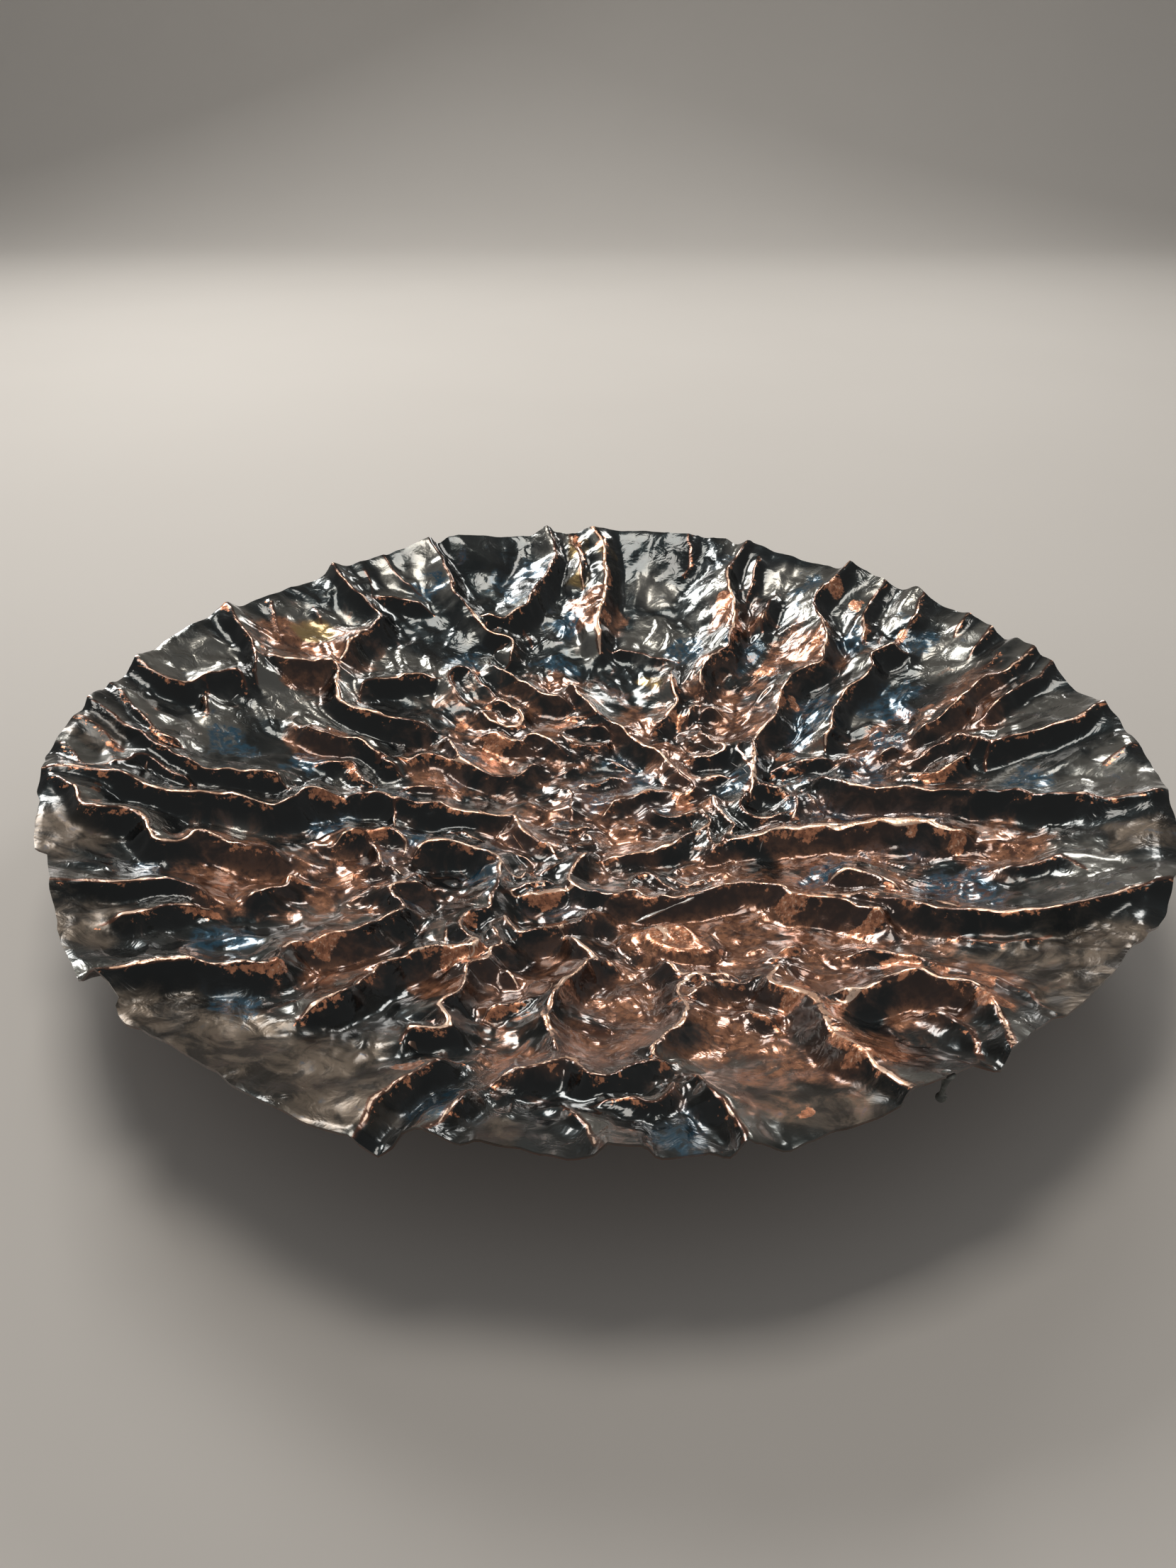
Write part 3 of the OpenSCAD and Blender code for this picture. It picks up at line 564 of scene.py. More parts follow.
def relief(x, y):
    """Height over the plain dish, and the four marks of the folds, for places in mm."""
    r = np.hypot(x, y) / RADIUS
    wx, wy = warped(x, y)
    total, trough, marks = np.zeros_like(x), np.zeros_like(x), np.zeros((4, len(x)))
    for near, (rise, dip, mark, _, _, _) in by_fold(wx, wy):
        total[near] += np.maximum(rise, 0) ** BLEND
        trough[near] = np.maximum(trough[near], dip)
        marks[:, near] = np.maximum(marks[:, near], mark)
    rise = total ** (1 / BLEND)
    rise -= trough * np.clip(1 - rise / 5, 0, 1) * ease((1 - r) / 0.08)
    rise *= 1 - MIDDLE_LOSS * ease((0.5 - r) / 0.45)
    rise *= 1 - RIM_LOSS * ease((r - 0.86) / 0.14)
    for sx, sy, long, short, turn, high in SWELLINGS:
        c, s = math.cos(math.radians(turn)), math.sin(math.radians(turn))
        u, v = (x - sx) * c + (y - sy) * s, -(x - sx) * s + (y - sy) * c
        rise = np.maximum(rise, high * np.clip(1.1 - (u / long) ** 2 - (v / short) ** 2, 0, 1) ** 0.6)
    return rise, marks


def crumple(x, y, calm):
    """The dents, wrinkles and hammer marks between the folds, in mm."""
    r, a = np.hypot(x, y), np.arctan2(y, x)
    outer = ease((r - 80) / 60)
    wx = x + 6 * noise(x, y, 32, 21) + 2 * noise(x, y, 12, 23)
    wy = y + 6 * noise(x, y, 32, 22) + 2 * noise(x, y, 12, 24)
    along, across = wx * 0.9, wy
    streak_u = r * 0.42 + 4 * noise(x, y, 28, 33)
    streak_v = 150 * a + 9 * noise(x, y, 34, 34)
    round_dents = 1.5 * noise(along, across, 27, 27) + 1.2 * noise(along, across, 14, 28)
    long_dents = 1.5 * noise(streak_u, streak_v, 22, 35) + 1.1 * noise(streak_u, streak_v, 10, 36)
    ridge = np.clip(1 - 2.2 * np.abs(noise(along, across, 21, 30)), 0, 1) ** 2
    long_ridge = np.clip(1 - 2.2 * np.abs(noise(streak_u, streak_v, 15, 37)), 0, 1) ** 2
    where = np.clip(0.5 + 1.5 * noise(x, y, 40, 38), 0, 1)
    rough = round_dents + (long_dents - round_dents) * 0.75 * outer
    rough += 1.7 * where * (ridge + (long_ridge - ridge) * outer)
    rough += 0.45 * noise(wx, wy, 7.5, 29)
    return rough * (1 - 0.35 * calm)


def patch(x, y, name):
    """How strong a patch of colour is at each place, 0 to 1 and fading outward."""
    out = np.zeros_like(x)
    wx, wy = x + 6 * noise(x, y, 14, 31), y + 6 * noise(x, y, 14, 32)
    for percent, degrees, size in PATCHES[name]:
        (px, py), = from_polar([(percent, degrees)])
        d2 = (wx - px) ** 2 + (wy - py) ** 2
        out = np.maximum(out, np.exp(-d2 / size ** 2))
    return out


def rim_push(a):
    """How far out and how far up the cut edge is pushed at each angle in radians, in mm."""
    turn = np.degrees(a) % 360
    rows = np.array([(RIM_SHAPE[-1][0] - 360, *RIM_SHAPE[-1][1:])] + RIM_SHAPE
                    + [(RIM_SHAPE[0][0] + 360, *RIM_SHAPE[0][1:])], float)
    k = np.clip(np.searchsorted(rows[:, 0], turn, "right") - 1, 0, len(rows) - 2)
    t = ease((turn - rows[k, 0]) / (rows[k + 1, 0] - rows[k, 0]))
    out = rows[k, 1] + (rows[k + 1, 1] - rows[k, 1]) * t
    up = rows[k, 2] + (rows[k + 1, 2] - rows[k, 2]) * t
    return out, up


def out_to(share, a):
    """Distance from the middle, in mm, of a net point at this share of the way to the rim."""
    c, s = 40 * np.cos(a), 40 * np.sin(a)
    edge = rim_push(a)[0] + 0.5 * noise(c, s, 4, 42) + 0.3 * noise(c, s, 1.8, 43)
    return share * (RADIUS - 1) + edge * ease((share - 0.8) / 0.2)


# ---------------------------------------------------------------- the sheet's net

LOWEST = 4.2     # mm, the lowest that the top may come
TOP_RINGS = [(96, 4, 26), (192, 26, 56), (384, 56, 112), (768, 112, 225)]
TOP_STEP = 1.38
LOW_RINGS = [(96, 4, 56), (192, 56, 112), (384, 112, 219), (768, 219, 225)]
LOW_STEP = 3.4


def ring_places(bands, step):
    """(number of points, radius in mm) for each ring, from the middle out to the rim."""
    out = []
    for count, start, end in bands:
        n = max(1, round((end - start) / step))
        out += [(count, start + (end - start) * k / n) for k in range(n)]
    return out + [(bands[-1][0], bands[-1][2])]


def net(bands, step):
    """A net of rings round a middle point: places as (share of the rim's radius, angle), faces."""
    rings = ring_places(bands, step)
    share, angle, first, faces = [0.0], [0.0], [], []
    for count, r in rings:
        first.append(len(share))
        share += [r / RADIUS] * count
        angle += [2 * math.pi * k / count for k in range(count)]
    count = rings[0][0]
    faces += [(0, first[0] + k, first[0] + (k + 1) % count) for k in range(count)]
    for (na, _), (nb, _), a, b in zip(rings[:-1], rings[1:], first[:-1], first[1:]):
        for k in range(na):
            k1 = (k + 1) % na
            if na == nb:
                faces.append((a + k, b + k, b + k1, a + k1))
            else:
                m, m1 = 2 * k, (2 * k + 2) % nb
                faces.append((a + k, b + m, b + m + 1))
                faces.append((a + k, b + m + 1, a + k1))
                faces.append((a + k1, b + m + 1, b + m1))
    return np.array(share), np.array(angle), faces


def top_height(x, y):
    """Height of the top of the sheet, and the marks of the folds, for places in mm."""
    angle = np.arctan2(y, x)
    share = np.minimum(np.hypot(x, y) / (RADIUS - 1), 1)
    rise, marks = relief(x, y)
    calm = np.clip(0.3 * patch(x, y, "dull") + 0.8 * marks[2] + ease((marks[0] - 0.35) / 0.15), 0, 1)
    rough = crumple(x, y, calm) * (1 - 0.4 * ease((share - 0.92) / 0.08))
    z = SOLE + SHEET_T + DEPTH * share ** 2 + rise + rough
    z += rim_push(angle)[1] * ease((share - 0.86) / 0.14)
    return np.maximum(z, LOWEST), marks


def sheet_heights(share, angle):
    """Places in mm, height of the top, and the marks, for points of a net."""
    r = out_to(share, angle)
    x, y = drawn_to_crests(r * np.cos(angle), r * np.sin(angle))
    z, marks = top_height(x, y)
    return x, y, z, marks


def slope_thickness(x, y, z, faces):
    """How thick the sheet is measured straight up, so that it is SHEET_T across, at most double."""
    mesh = bpy.data.meshes.new("slope")
    mesh.from_pydata(np.column_stack([x, y, z]).tolist(), [], faces)
    mesh.update()
    normal = np.zeros(len(mesh.vertices) * 3, np.float32)
    mesh.vertex_normals.foreach_get("vector", normal)
    bpy.data.meshes.remove(mesh)
    return SHEET_T * np.clip(1 / np.maximum(np.abs(normal[2::3]), 0.05), 1, 2)


def copper_sheet():
    share, angle, faces = net(TOP_RINGS, TOP_STEP)
    x, y, z, marks = sheet_heights(share, angle)
    low_share, low_angle, low_faces = net(LOW_RINGS, LOW_STEP)
    lx, ly, lz, _ = sheet_heights(low_share, low_angle)
    lz -= slope_thickness(lx, ly, lz, low_faces)
    n, rim = len(x), TOP_RINGS[-1][0]
    faces += [tuple(n + v for v in reversed(f)) for f in low_faces]
    top_rim, low_rim = n - rim, n + len(lx) - rim
    faces += [(top_rim + k, low_rim + k, low_rim + (k + 1) % rim, top_rim + (k + 1) % rim)
              for k in range(rim)]
    places = np.column_stack([np.append(x, lx), np.append(y, ly), np.append(z, lz)]) * MM
    mesh = bpy.data.meshes.new("hammered_sheet")
    mesh.from_pydata(places.tolist(), [], faces)
    mesh.update()
    # What the patina reads, at each point: the folds' marks, the patches and which side it is.
    # The steep-side mark, with the ink patches, carries painted shade; the back mark and the pale
    # patches carry a painted sheen.
    every = {name: np.append(patch(x, y, name), patch(lx, ly, name)) for name in PATCHES}
    line, spill, flank_shade, back = [np.append(mark, np.zeros(len(lx))) for mark in marks]
    painted_shade = np.maximum(flank_shade, 0.65 * every["ink"])
    under = np.append(np.zeros(n), np.ones(len(lx)))
    store(mesh, "wear", line, every["copper"], every["brown"], every["gold"])
    store(mesh, "tint", every["blue"], every["dull"], every["pale"], under)
    store(mesh, "shape", spill, painted_shade, back, every["warm"])
    mesh.polygons.foreach_set("use_smooth", [True] * len(mesh.polygons))
    sharpen_rim(mesh, top_rim, low_rim, rim)
    piece = bpy.data.objects.new("hammered_sheet", mesh)
    bpy.context.collection.objects.link(piece)
    return piece


def sharpen_rim(mesh, top, low, count):
    """The cut edge is square: its two outlines are sharp."""
    sharp = [(top <= a < top + count and top <= b < top + count)
             or (low <= a < low + count and low <= b < low + count)
             for a, b in (e.vertices for e in mesh.edges)]
    values = mesh.attributes.new("sharp_edge", "BOOLEAN", "EDGE")
    values.data.foreach_set("value", sharp)


def store(mesh, name, r, g, b, a):
    """Four numbers a point, kept in the mesh for its material."""
    layer = mesh.color_attributes.new(name, "FLOAT_COLOR", "POINT")
    layer.data.foreach_set("color", np.column_stack([r, g, b, a]).astype(np.float32).ravel())


# ---------------------------------------------------------------- node helpers

class Nodes:
    """Short names for the nodes of one material."""

    def __init__(self, name):
        self.material = bpy.data.materials.new(name)
        self.material.use_nodes = True
        self.tree = self.material.node_tree
        self.shader = self.tree.nodes["Principled BSDF"]

    def add(self, kind, **inputs):
        node = self.tree.nodes.new(kind)
        for key, value in inputs.items():
            self.put(node.inputs[key.replace("_", " ")], value)
        return node

    def put(self, socket, value):
        if isinstance(value, bpy.types.NodeSocket):
            self.tree.links.new(value, socket)
        else:
            socket.default_value = value

    def math(self, operation, a, b=0.0, c=0.0, clamp=False):
        node = self.tree.nodes.new("ShaderNodeMath")
        node.operation, node.use_clamp = operation, clamp
        for socket, value in zip(node.inputs, (a, b, c)):
            self.put(socket, value)
        return node.outputs[0]

    def noise(self, scale, detail=4.0, roughness=0.55, distortion=0.0):
        place = self.add("ShaderNodeTexCoord").outputs["Object"]
        node = self.add("ShaderNodeTexNoise", Scale=scale, Detail=detail, Roughness=roughness,
                        Distortion=distortion, Vector=place)
        return node.outputs["Fac"]

    def step(self, value, start, end, low=0.0, high=1.0):
        """low below start, high above end, and smooth between."""
        node = self.tree.nodes.new("ShaderNodeMapRange")
        node.interpolation_type = "SMOOTHSTEP"
        for key, number in (("Value", value), ("From Min", start), ("From Max", end),
                            ("To Min", low), ("To Max", high)):
            self.put(node.inputs[key], number)
        return node.outputs["Result"]

    def spread(self, mask, grain, amount, start, end):
        """A patch with a ragged edge: 0 where mask plus the grain is under start, 1 over end."""
        return self.step(self.math("ADD", mask, self.math("MULTIPLY", grain, amount)), start, end)

    def mix(self, share, a, b):
        node = self.tree.nodes.new("ShaderNodeMix")
        node.data_type = "RGBA"
        self.put(node.inputs["Factor"], share)
        self.put(node.inputs[6], a)
        self.put(node.inputs[7], b)
        return node.outputs[2]

    def mix_value(self, share, a, b):
        """a where share is 0, b where it is 1."""
        return self.math("ADD", a, self.math("MULTIPLY", share, self.math("SUBTRACT", b, a)))

    def stored(self, name):
        """The four numbers that the mesh keeps under this name."""
        node = self.tree.nodes.new("ShaderNodeAttribute")
        node.attribute_name = name
        split = self.add("ShaderNodeSeparateColor", Color=node.outputs["Color"])
        return [*split.outputs, node.outputs["Alpha"]]

    def bump(self, height, distance, strength=1.0, under=None):
        node = self.add("ShaderNodeBump", Height=height, Distance=distance, Strength=strength)
        if under is not None:
            self.put(node.inputs["Normal"], under)
        return node.outputs["Normal"]


def colour(red, green, blue):
    return (red, green, blue, 1.0)


# The next two colours are the near-black of the painted shade on the folds' steep sides.
SHADE_BLACK = colour(0.006, 0.009, 0.010)
SHADE_BROWN = colour(0.026, 0.011, 0.007)
SLATE = colour(0.012, 0.020, 0.023)
SLATE_LIGHT = colour(0.032, 0.038, 0.038)
# The pale grey of the painted sheen on the folds' backs and in the pale patches.
SHEEN_GREY = colour(0.18, 0.18, 0.165)
DULL_GREY = colour(0.150, 0.120, 0.092)
DULL_DARK = colour(0.030, 0.025, 0.020)
TEAL = colour(0.004, 0.060, 0.110)
BROWN = colour(0.105, 0.038, 0.019)
BROWN_LIGHT = colour(0.42, 0.185, 0.095)
COPPER_DARK = colour(0.36, 0.135, 0.065)
COPPER = colour(0.74, 0.31, 0.16)
COPPER_PALE = colour(0.92, 0.56, 0.38)
CREST_PALE = colour(0.96, 0.70, 0.54)
OLIVE_GOLD = colour(0.30, 0.21, 0.085)
UNDER_BROWN = colour(0.085, 0.050, 0.035)


def patina():
    """Dark patina over copper, rubbed bright on the crests, all under a clear gloss coat, with
    painted shade on the folds' steep near sides and a painted silver sheen on their backs.
    """
    m = Nodes("patinated_copper")
    line, copper, brown, gold = m.stored("wear")
    blue, dull, pale, under = m.stored("tint")
    spill, flank_shade, back, warm = m.stored("shape")
    brown = m.math("MAXIMUM", brown, m.math("MULTIPLY", warm, 0.50))
    broad, middle, fine = m.noise(26, 4), m.noise(85, 6, 0.62, 0.6), m.noise(380, 5, 0.65)
    speck = m.noise(700, 3, 0.6)
    ragged = m.math("ADD", m.math("MULTIPLY", middle, 0.5), m.math("MULTIPLY", fine, 0.5))
    # How far a place is off the painted shade.
    lit = m.math("SUBTRACT", 1.0, flank_shade, clamp=True)

    base = m.mix(m.step(broad, 0.45, 0.62), SLATE, SLATE_LIGHT)
    # Painted sheen: the backs of the folds and the pale patches, off the painted shade, turn a pale silver
    # grey that stands in for reflections of the lights.
    painted_sheen = m.math("MULTIPLY", m.math("ADD", pale, m.math("MULTIPLY", back, 0.9)), lit)
    base = m.mix(m.spread(painted_sheen, middle, 0.9, 0.62, 1.12), base, SHEEN_GREY)
    dulls = m.mix(m.step(middle, 0.40, 0.58), DULL_DARK, DULL_GREY)
    base = m.mix(m.spread(dull, middle, 0.3, 0.35, 0.75), base, dulls)
    blued = m.math("MULTIPLY", m.spread(blue, middle, 1.6, 0.96, 1.2), lit)
    blued = m.math("MULTIPLY", blued, m.step(fine, 0.42, 0.54, 0.25, 1.0))
    browns = m.mix(m.step(ragged, 0.42, 0.60), BROWN, BROWN_LIGHT)
    browned = m.spread(brown, middle, 1.2, 0.74, 1.12)
    base = m.mix(browned, base, browns)
    base = m.mix(blued, base, TEAL)
    base = m.mix(m.spread(gold, middle, 0.6, 0.72, 1.05), base, OLIVE_GOLD)
    # Painted shade: the steep near sides of the folds go near-black, and the ink patches with them,
    # brownish where the patina is brown.
    shade = m.mix(m.spread(brown, middle, 0.6, 0.5, 0.9), SHADE_BLACK, SHADE_BROWN)
    shaded = m.math("MULTIPLY", m.step(flank_shade, 0.15, 0.75), m.step(middle, 0.40, 0.62, 0.95, 0.8))
    base = m.mix(shaded, base, shade)

    fringe = m.spread(spill, ragged, 1.1, 1.05, 1.11)
    bare = m.spread(copper, ragged, 1.5, 1.32, 1.44)
    brown_edge = m.spread(line, ragged, 0.25, 0.545, 0.60)
    base = m.mix(m.math("MULTIPLY", brown_edge, 0.8), base, BROWN)
    worn = m.mix(m.step(fine, 0.42, 0.60), COPPER_DARK, COPPER)
    coppers = m.mix(m.step(fine, 0.42, 0.62), COPPER_DARK, COPPER)
    coppers = m.mix(m.step(speck, 0.54, 0.66), coppers, COPPER_PALE)
    base = m.mix(m.math("MULTIPLY", fringe, m.step(speck, 0.32, 0.44, 0.3, 1.0)), base, worn)
    base = m.mix(m.math("MULTIPLY", bare, m.step(speck, 0.32, 0.44, 0.35, 1.0)), base, coppers)
    metal = m.math("MAXIMUM", fringe, bare)
    crest = m.math("MULTIPLY", m.spread(line, ragged, 0.16, 0.585, 0.615),
                   m.step(fine, 0.30, 0.45, 0.35, 1.0))
    base = m.mix(crest, base, m.mix(m.step(middle, 0.42, 0.58), COPPER_PALE, CREST_PALE))
    base = m.mix(under, base, m.mix(m.step(middle, 0.4, 0.6), UNDER_BROWN, BROWN))

    shader = m.shader
    m.put(shader.inputs["Base Color"], base)
    bright = m.math("MAXIMUM", metal, crest)
    metallic = m.math("SUBTRACT", 0.92, m.math("MULTIPLY", browned, 0.35))
    metallic = m.math("SUBTRACT", metallic, m.math("MULTIPLY", blued, 0.5), clamp=True)
    m.put(shader.inputs["Metallic"], m.mix_value(bright, metallic, 0.75))
    rough = m.math("ADD", 0.23, m.math("MULTIPLY", m.math("SUBTRACT", middle, 0.5), 0.25))
    rough = m.math("ADD", rough, m.math("MULTIPLY", dull, 0.16))
    rough = m.math("ADD", rough, m.math("MULTIPLY", bright, 0.06))
    m.put(shader.inputs["Roughness"], rough)
    m.put(shader.inputs["Coat Weight"], m.math("SUBTRACT", 1.0, m.math("MULTIPLY", dull, 0.6)))
    shader.inputs["Coat IOR"].default_value = 1.5
    m.put(shader.inputs["Coat Roughness"], m.math("ADD", 0.10, m.math("MULTIPLY", dull, 0.18)))
    crinkled = m.step(m.noise(22, 2), 0.40, 0.58, 0.3, 0.8)
    dents = m.bump(m.noise(105, 3, 0.5, 0.8), 0.0010, crinkled)
    grain = m.bump(m.noise(520, 4, 0.6), 0.0003, 0.25, dents)
    m.put(shader.inputs["Normal"], grain)
    m.put(shader.inputs["Coat Normal"], dents)
    return m.material


def plain_copper():
    m = Nodes("plain_copper")
    cloud, fine = m.noise(60, 5), m.noise(520, 4)
    base = m.mix(m.step(cloud, 0.38, 0.62), colour(0.46, 0.21, 0.12), colour(0.68, 0.36, 0.23))
    base = m.mix(m.math("MULTIPLY", m.step(fine, 0.5, 0.68), 0.5), base, colour(0.16, 0.075, 0.045))
    m.put(m.shader.inputs["Base Color"], base)
    m.shader.inputs["Metallic"].default_value = 1.0
    m.put(m.shader.inputs["Roughness"], m.step(cloud, 0.3, 0.7, 0.28, 0.48))
    m.put(m.shader.inputs["Normal"], m.bump(fine, 0.0004, 0.4))
    return m.material


def solder_metal():
    m = Nodes("solder")
    cloud, fine = m.noise(140, 4), m.noise(900, 3)
    base = m.mix(m.step(cloud, 0.4, 0.6), colour(0.34, 0.34, 0.33), colour(0.58, 0.58, 0.56))
    m.put(m.shader.inputs["Base Color"], base)
    m.shader.inputs["Metallic"].default_value = 0.9
    m.put(m.shader.inputs["Roughness"], m.step(fine, 0.35, 0.65, 0.35, 0.6))
    m.put(m.shader.inputs["Normal"], m.bump(cloud, 0.0006, 0.5))
    return m.material


def clear_coat():
    m = Nodes("clear_coat")
    cloud = m.noise(300, 3)
    base = m.mix(m.step(cloud, 0.4, 0.6), colour(0.10, 0.11, 0.10), colour(0.26, 0.27, 0.25))
    m.put(m.shader.inputs["Base Color"], base)
    m.shader.inputs["Transmission Weight"].default_value = 0.4
    m.shader.inputs["IOR"].default_value = 1.5
    m.put(m.shader.inputs["Roughness"], m.step(cloud, 0.3, 0.7, 0.05, 0.16))
    m.put(m.shader.inputs["Normal"], m.bump(cloud, 0.0003, 0.4))
    return m.material


# ---------------------------------------------------------------- the small pieces

def turned(name, profile, count=192, wobble=None):
    """A ring with the closed profile [(radius, z) in mm], turned round Z."""
    points, faces = [], []
    n = len(profile)
    for k in range(count):
        a = 2 * math.pi * k / count
        for r, z in profile:
            dr, dz = wobble(a, r, z) if wobble else (0, 0)
            points.append(((r + dr) * math.cos(a) * MM, (r + dr) * math.sin(a) * MM, (z + dz) * MM))
    for k in range(count):
        for j in range(n):
            a, b = k * n, (k + 1) % count * n
            faces.append((a + j, b + j, b + (j + 1) % n, a + (j + 1) % n))
    return mesh_piece(name, points, faces)


def mesh_piece(name, points, faces, smooth_angle=35):
    mesh = bpy.data.meshes.new(name)
    mesh.from_pydata(points, [], faces)
    mesh.update()
    mesh.polygons.foreach_set("use_smooth", [True] * len(mesh.polygons))
    mesh.set_sharp_from_angle(angle=math.radians(smooth_angle))
    piece = bpy.data.objects.new(name, mesh)
    bpy.context.collection.objects.link(piece)
    return piece


ROUND = 240      # how many points go round the foot


def undersides(r):
    """Height of the sheet's underside, in mm, at ROUND places round the circle of radius r."""
    a = 2 * math.pi * np.arange(ROUND) / ROUND
    return top_height(r * np.cos(a), r * np.sin(a))[0] - 1.2 * SHEET_T


def number_at(a):
    """Which of the ROUND places round the foot is at the angle a."""
    return round(a * ROUND / (2 * math.pi)) % ROUND


def foot_ring():
    """A strip bent to a ring, cut along its top to the sheet above it, its edges eased, with a
    lapped joint and light hammer marks."""
    t, ease_r = 1.6, 0.35
    outer, inner = FOOT_RADIUS, FOOT_RADIUS - t
    profile = [(outer - ease_r, 0), (outer, ease_r), (outer, FOOT_TOP * 0.35),
               (outer, FOOT_TOP * 0.7), (outer, FOOT_TOP - ease_r), (outer - ease_r, FOOT_TOP),
               (inner + ease_r, FOOT_TOP), (inner, FOOT_TOP - ease_r), (inner, FOOT_TOP * 0.5),
               (inner, ease_r), (inner + ease_r, 0)]
    lap = math.radians(70)
    over = undersides(outer - t / 2)

    def wobble(a, r, z):
        dent = 0.12 * math.sin(23 * a + 2) * math.sin(z * 0.6) + 0.1 * math.sin(41 * a)
        seam = 0.9 * math.exp(-((a - lap) / 0.05) ** 2) if r > inner + 1 else 0
        share = min(1, max(0, (z - ease_r) / (FOOT_TOP - 2 * ease_r)))
        return dent - 0.15 + seam * 0.6, share * (over[number_at(a)] + 0.4 - FOOT_TOP)

    return turned("foot_strip", profile, ROUND, wobble)


def foot_solder():
    """The uneven run of solder in the corner between the ring and the sheet."""
    r, z = FOOT_RADIUS, FOOT_TOP
    profile = [(r - 0.1, z - 2.6), (r + 0.7, z - 2.3), (r + 1.4, z - 1.5), (r + 2.2, z - 0.8),
               (r + 2.9, z - 0.2), (r + 2.7, z + 0.4), (r - 0.1, z + 0.4)]
    over = np.maximum(undersides(r + 1), 4.5)

    def wobble(a, pr, pz):
        lump = 0.25 * math.sin(17 * a) + 0.2 * math.sin(29 * a + 1) + 0.15 * math.sin(53 * a + 2)
        down = -lump * 0.5 if pz < z - 0.5 else 0
        return lump * (pr - r + 0.1) / 3, down + over[number_at(a)] - z

    return turned("solder_run", profile, ROUND, wobble)


def lacquer_drip():
    """A thread of the clear coat that ran over the edge and set with a bead at its end."""
    turn = math.atan2(DRIP_LOW.y + DRIP_HIGH.y, DRIP_LOW.x + DRIP_HIGH.x)
    r = float(out_to(np.array([1.0]), np.array([turn]))[0]) - 0.8
    cx, cy = r * math.cos(turn), r * math.sin(turn)
    high = float(top_height(np.array([cx]), np.array([cy]))[0][0]) - 0.3
    length, bead = 11.5, 1.7      # the drip's length and its bead's radius, mm
    rings, around = 40, 32
    points, faces = [(cx * MM, cy * MM, (high - length) * MM)], []
    for j in range(1, rings):
        t = j / rings
        low_end = math.sqrt(max(0, 1 - ((t * length - bead) / bead) ** 2)) if t * length < 1.6 * bead else 0
        neck = 0.50 + 0.08 * math.sin(7 * t + 1) + 0.75 * t ** 4
        size = bead * max(low_end, neck * float(ease(t * length / bead)))
        lean = 0.5 * math.sin(2.2 * (1 - t))
        for k in range(around):
            a = 2 * math.pi * k / around
            points.append(((cx - lean + size * math.cos(a)) * MM, (cy + 0.85 * size * math.sin(a)) * MM,
                           (high - length + t * length) * MM))
    last = 1 + (rings - 2) * around
    points.append((cx * MM, cy * MM, high * MM))
    for k in range(around):
        k1 = (k + 1) % around
        faces.append((0, 1 + k1, 1 + k))
        faces.append((len(points) - 1, last + k, last + k1))
        faces += [(1 + j * around + k, 1 + j * around + k1, 1 + (j + 1) * around + k1,
                   1 + (j + 1) * around + k) for j in range(rings - 2)]
    return mesh_piece("coat_drip", points, faces, 80)


# ---------------------------------------------------------------- stage

def floor():
    """A plain pale sheet that runs back and curves up behind the tray."""
    near, bend, radius, top, half = -3.0, 1.7, 0.7, 3.0, 4.0
    curve = [(bend + radius * math.sin(t), radius - radius * math.cos(t))
             for t in np.linspace(0, math.pi / 2, 24)]
    profile = [(near, 0.0)] + curve + [(bend + radius, top)]
    points = [(x, y, z) for y, z in profile for x in (-half, half)]
    faces = [(2 * k, 2 * k + 1, 2 * k + 3, 2 * k + 2) for k in range(len(profile) - 1)]
    piece = mesh_piece("floor", points, faces, 60)
    m = Nodes("pale_floor")
    m.put(m.shader.inputs["Base Color"], m.mix(m.noise(3, 2), colour(0.60, 0.58, 0.55),
                                               colour(0.64, 0.62, 0.59)))
    m.shader.inputs["Roughness"].default_value = 0.7
    piece.data.materials.append(m.material)
    return piece


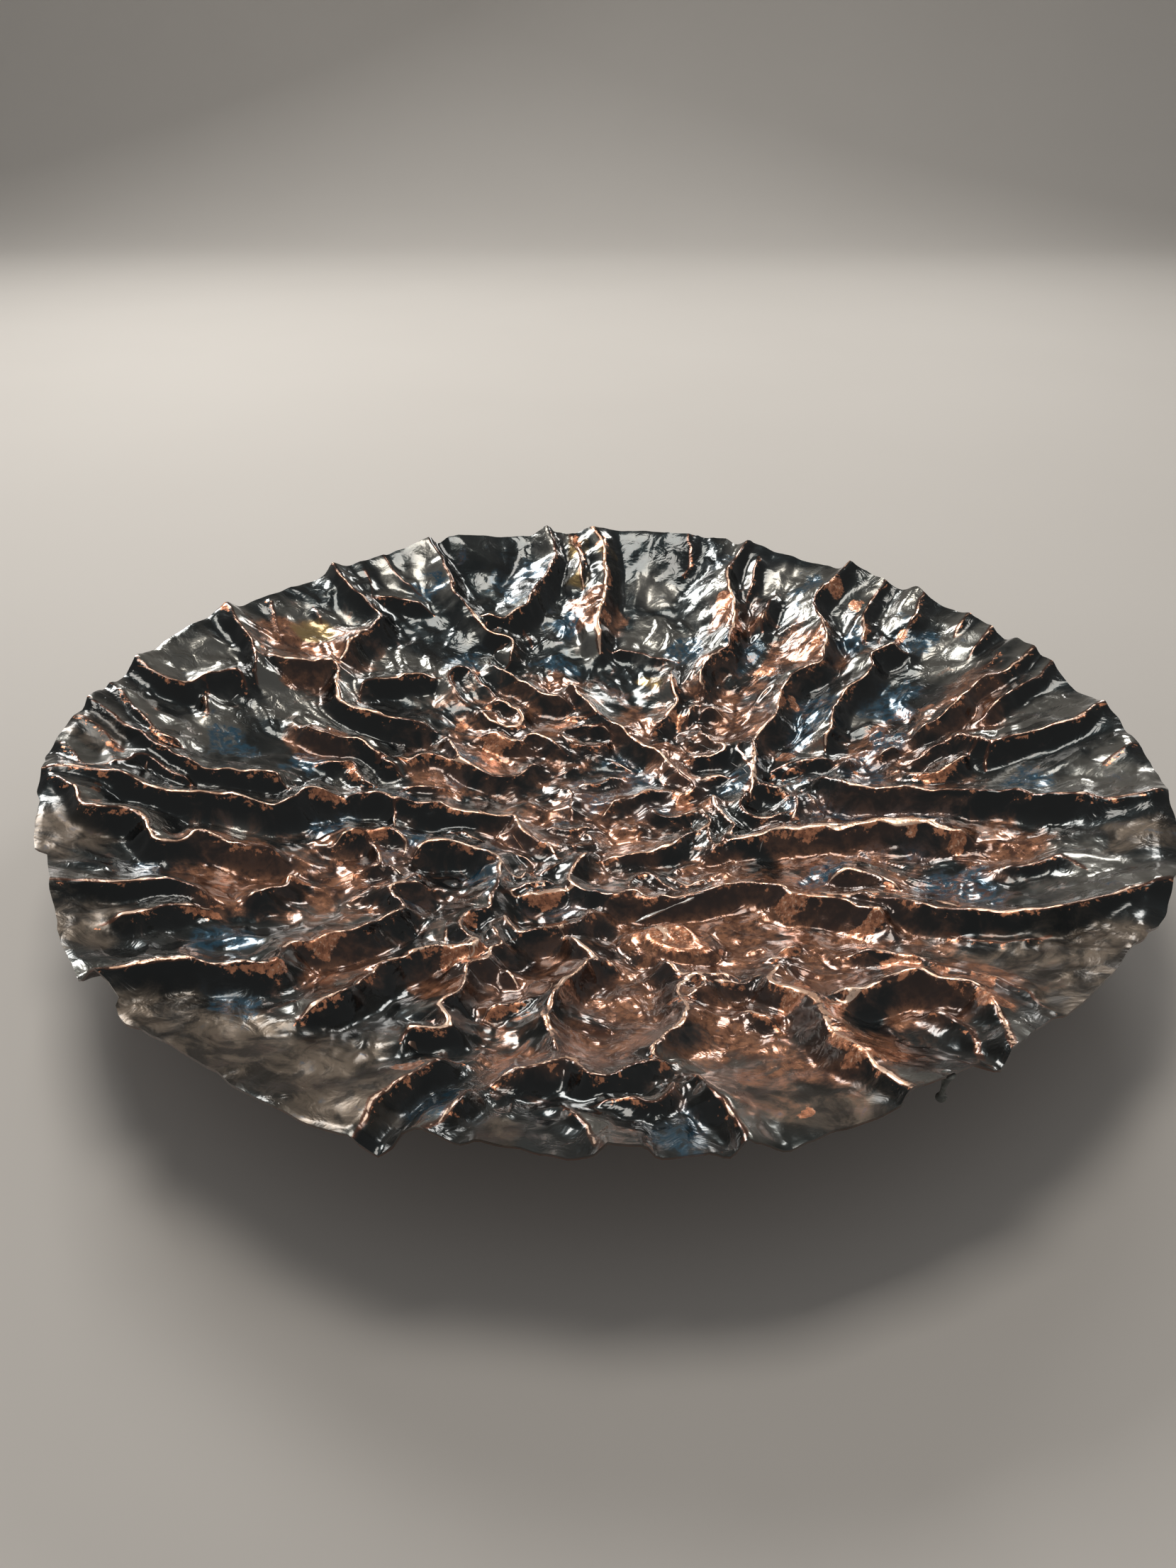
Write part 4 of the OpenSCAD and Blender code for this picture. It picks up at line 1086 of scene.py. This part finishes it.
def area_light(name, place, target, size, power, tint):
    light = bpy.data.lights.new(name, "AREA")
    light.shape = "RECTANGLE"
    light.size, light.size_y = size
    light.energy = power
    light.color = tint
    lamp = bpy.data.objects.new(name, light)
    lamp.location = place
    lamp.visible_camera = False
    lamp.rotation_euler = (Vector(target) - Vector(place)).to_track_quat("-Z", "Y").to_euler()
    bpy.context.collection.objects.link(lamp)


def box_light(name, azimuth, elevation, distance, size, glow, tint):
    """A soft box aimed at the tray. glow is how bright its face looks; azimuth 0 is behind the
    tray and 90 right of it, in degrees."""
    a, e = math.radians(azimuth), math.radians(elevation)
    place = (distance * math.sin(a) * math.cos(e), distance * math.cos(a) * math.cos(e),
             distance * math.sin(e) + 0.03)
    area_light(name, place, (0, 0, 0.03), size, glow * math.pi * size[0] * size[1], tint)


def lights():
    warm, plain = (1.0, 0.93, 0.85), (1.0, 0.97, 0.93)
    box_light("left_key", -30, 37, 1.9, (0.68, 0.44), 14.5, plain)
    box_light("right_key", 24, 30, 1.9, (0.5, 0.28), 11, plain)
    box_light("top_soft", -20, 74, 1.9, (0.75, 0.55), 8, warm)
    scene = bpy.context.scene
    scene.world = bpy.data.worlds.new("studio")
    scene.world.use_nodes = True
    sky = scene.world.node_tree.nodes["Background"]
    sky.inputs["Color"].default_value = colour(0.88, 0.86, 0.84)
    sky.inputs["Strength"].default_value = 0.26
    scene.view_settings.view_transform = "Standard"


def camera():
    data = bpy.data.cameras.new("view")
    data.lens = 26.04
    data.sensor_width = 36
    eye = bpy.data.objects.new("view", data)
    eye.location = (-0.0034, -0.422, 0.307)
    eye.rotation_euler = (math.radians(90 - 33.44), 0, 0)
    bpy.context.collection.objects.link(eye)
    bpy.context.scene.camera = eye


# ---------------------------------------------------------------- the scene

def place(piece, node, slot, material):
    piece.data.materials.append(material)
    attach(piece, "root")
    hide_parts(node)


place(copper_sheet(), "copper_sheet", "patinated_copper", patina())
place(foot_ring(), "foot_ring", "plain_copper", plain_copper())
place(foot_solder(), "foot_solder", "solder", solder_metal())
place(lacquer_drip(), "lacquer_drip", "clear_coat", clear_coat())
floor()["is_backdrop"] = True
lights()
camera()
bpy.context.view_layer.update()
boxes = [[list(corner) for corner in box] for box in (cad_box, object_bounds())]
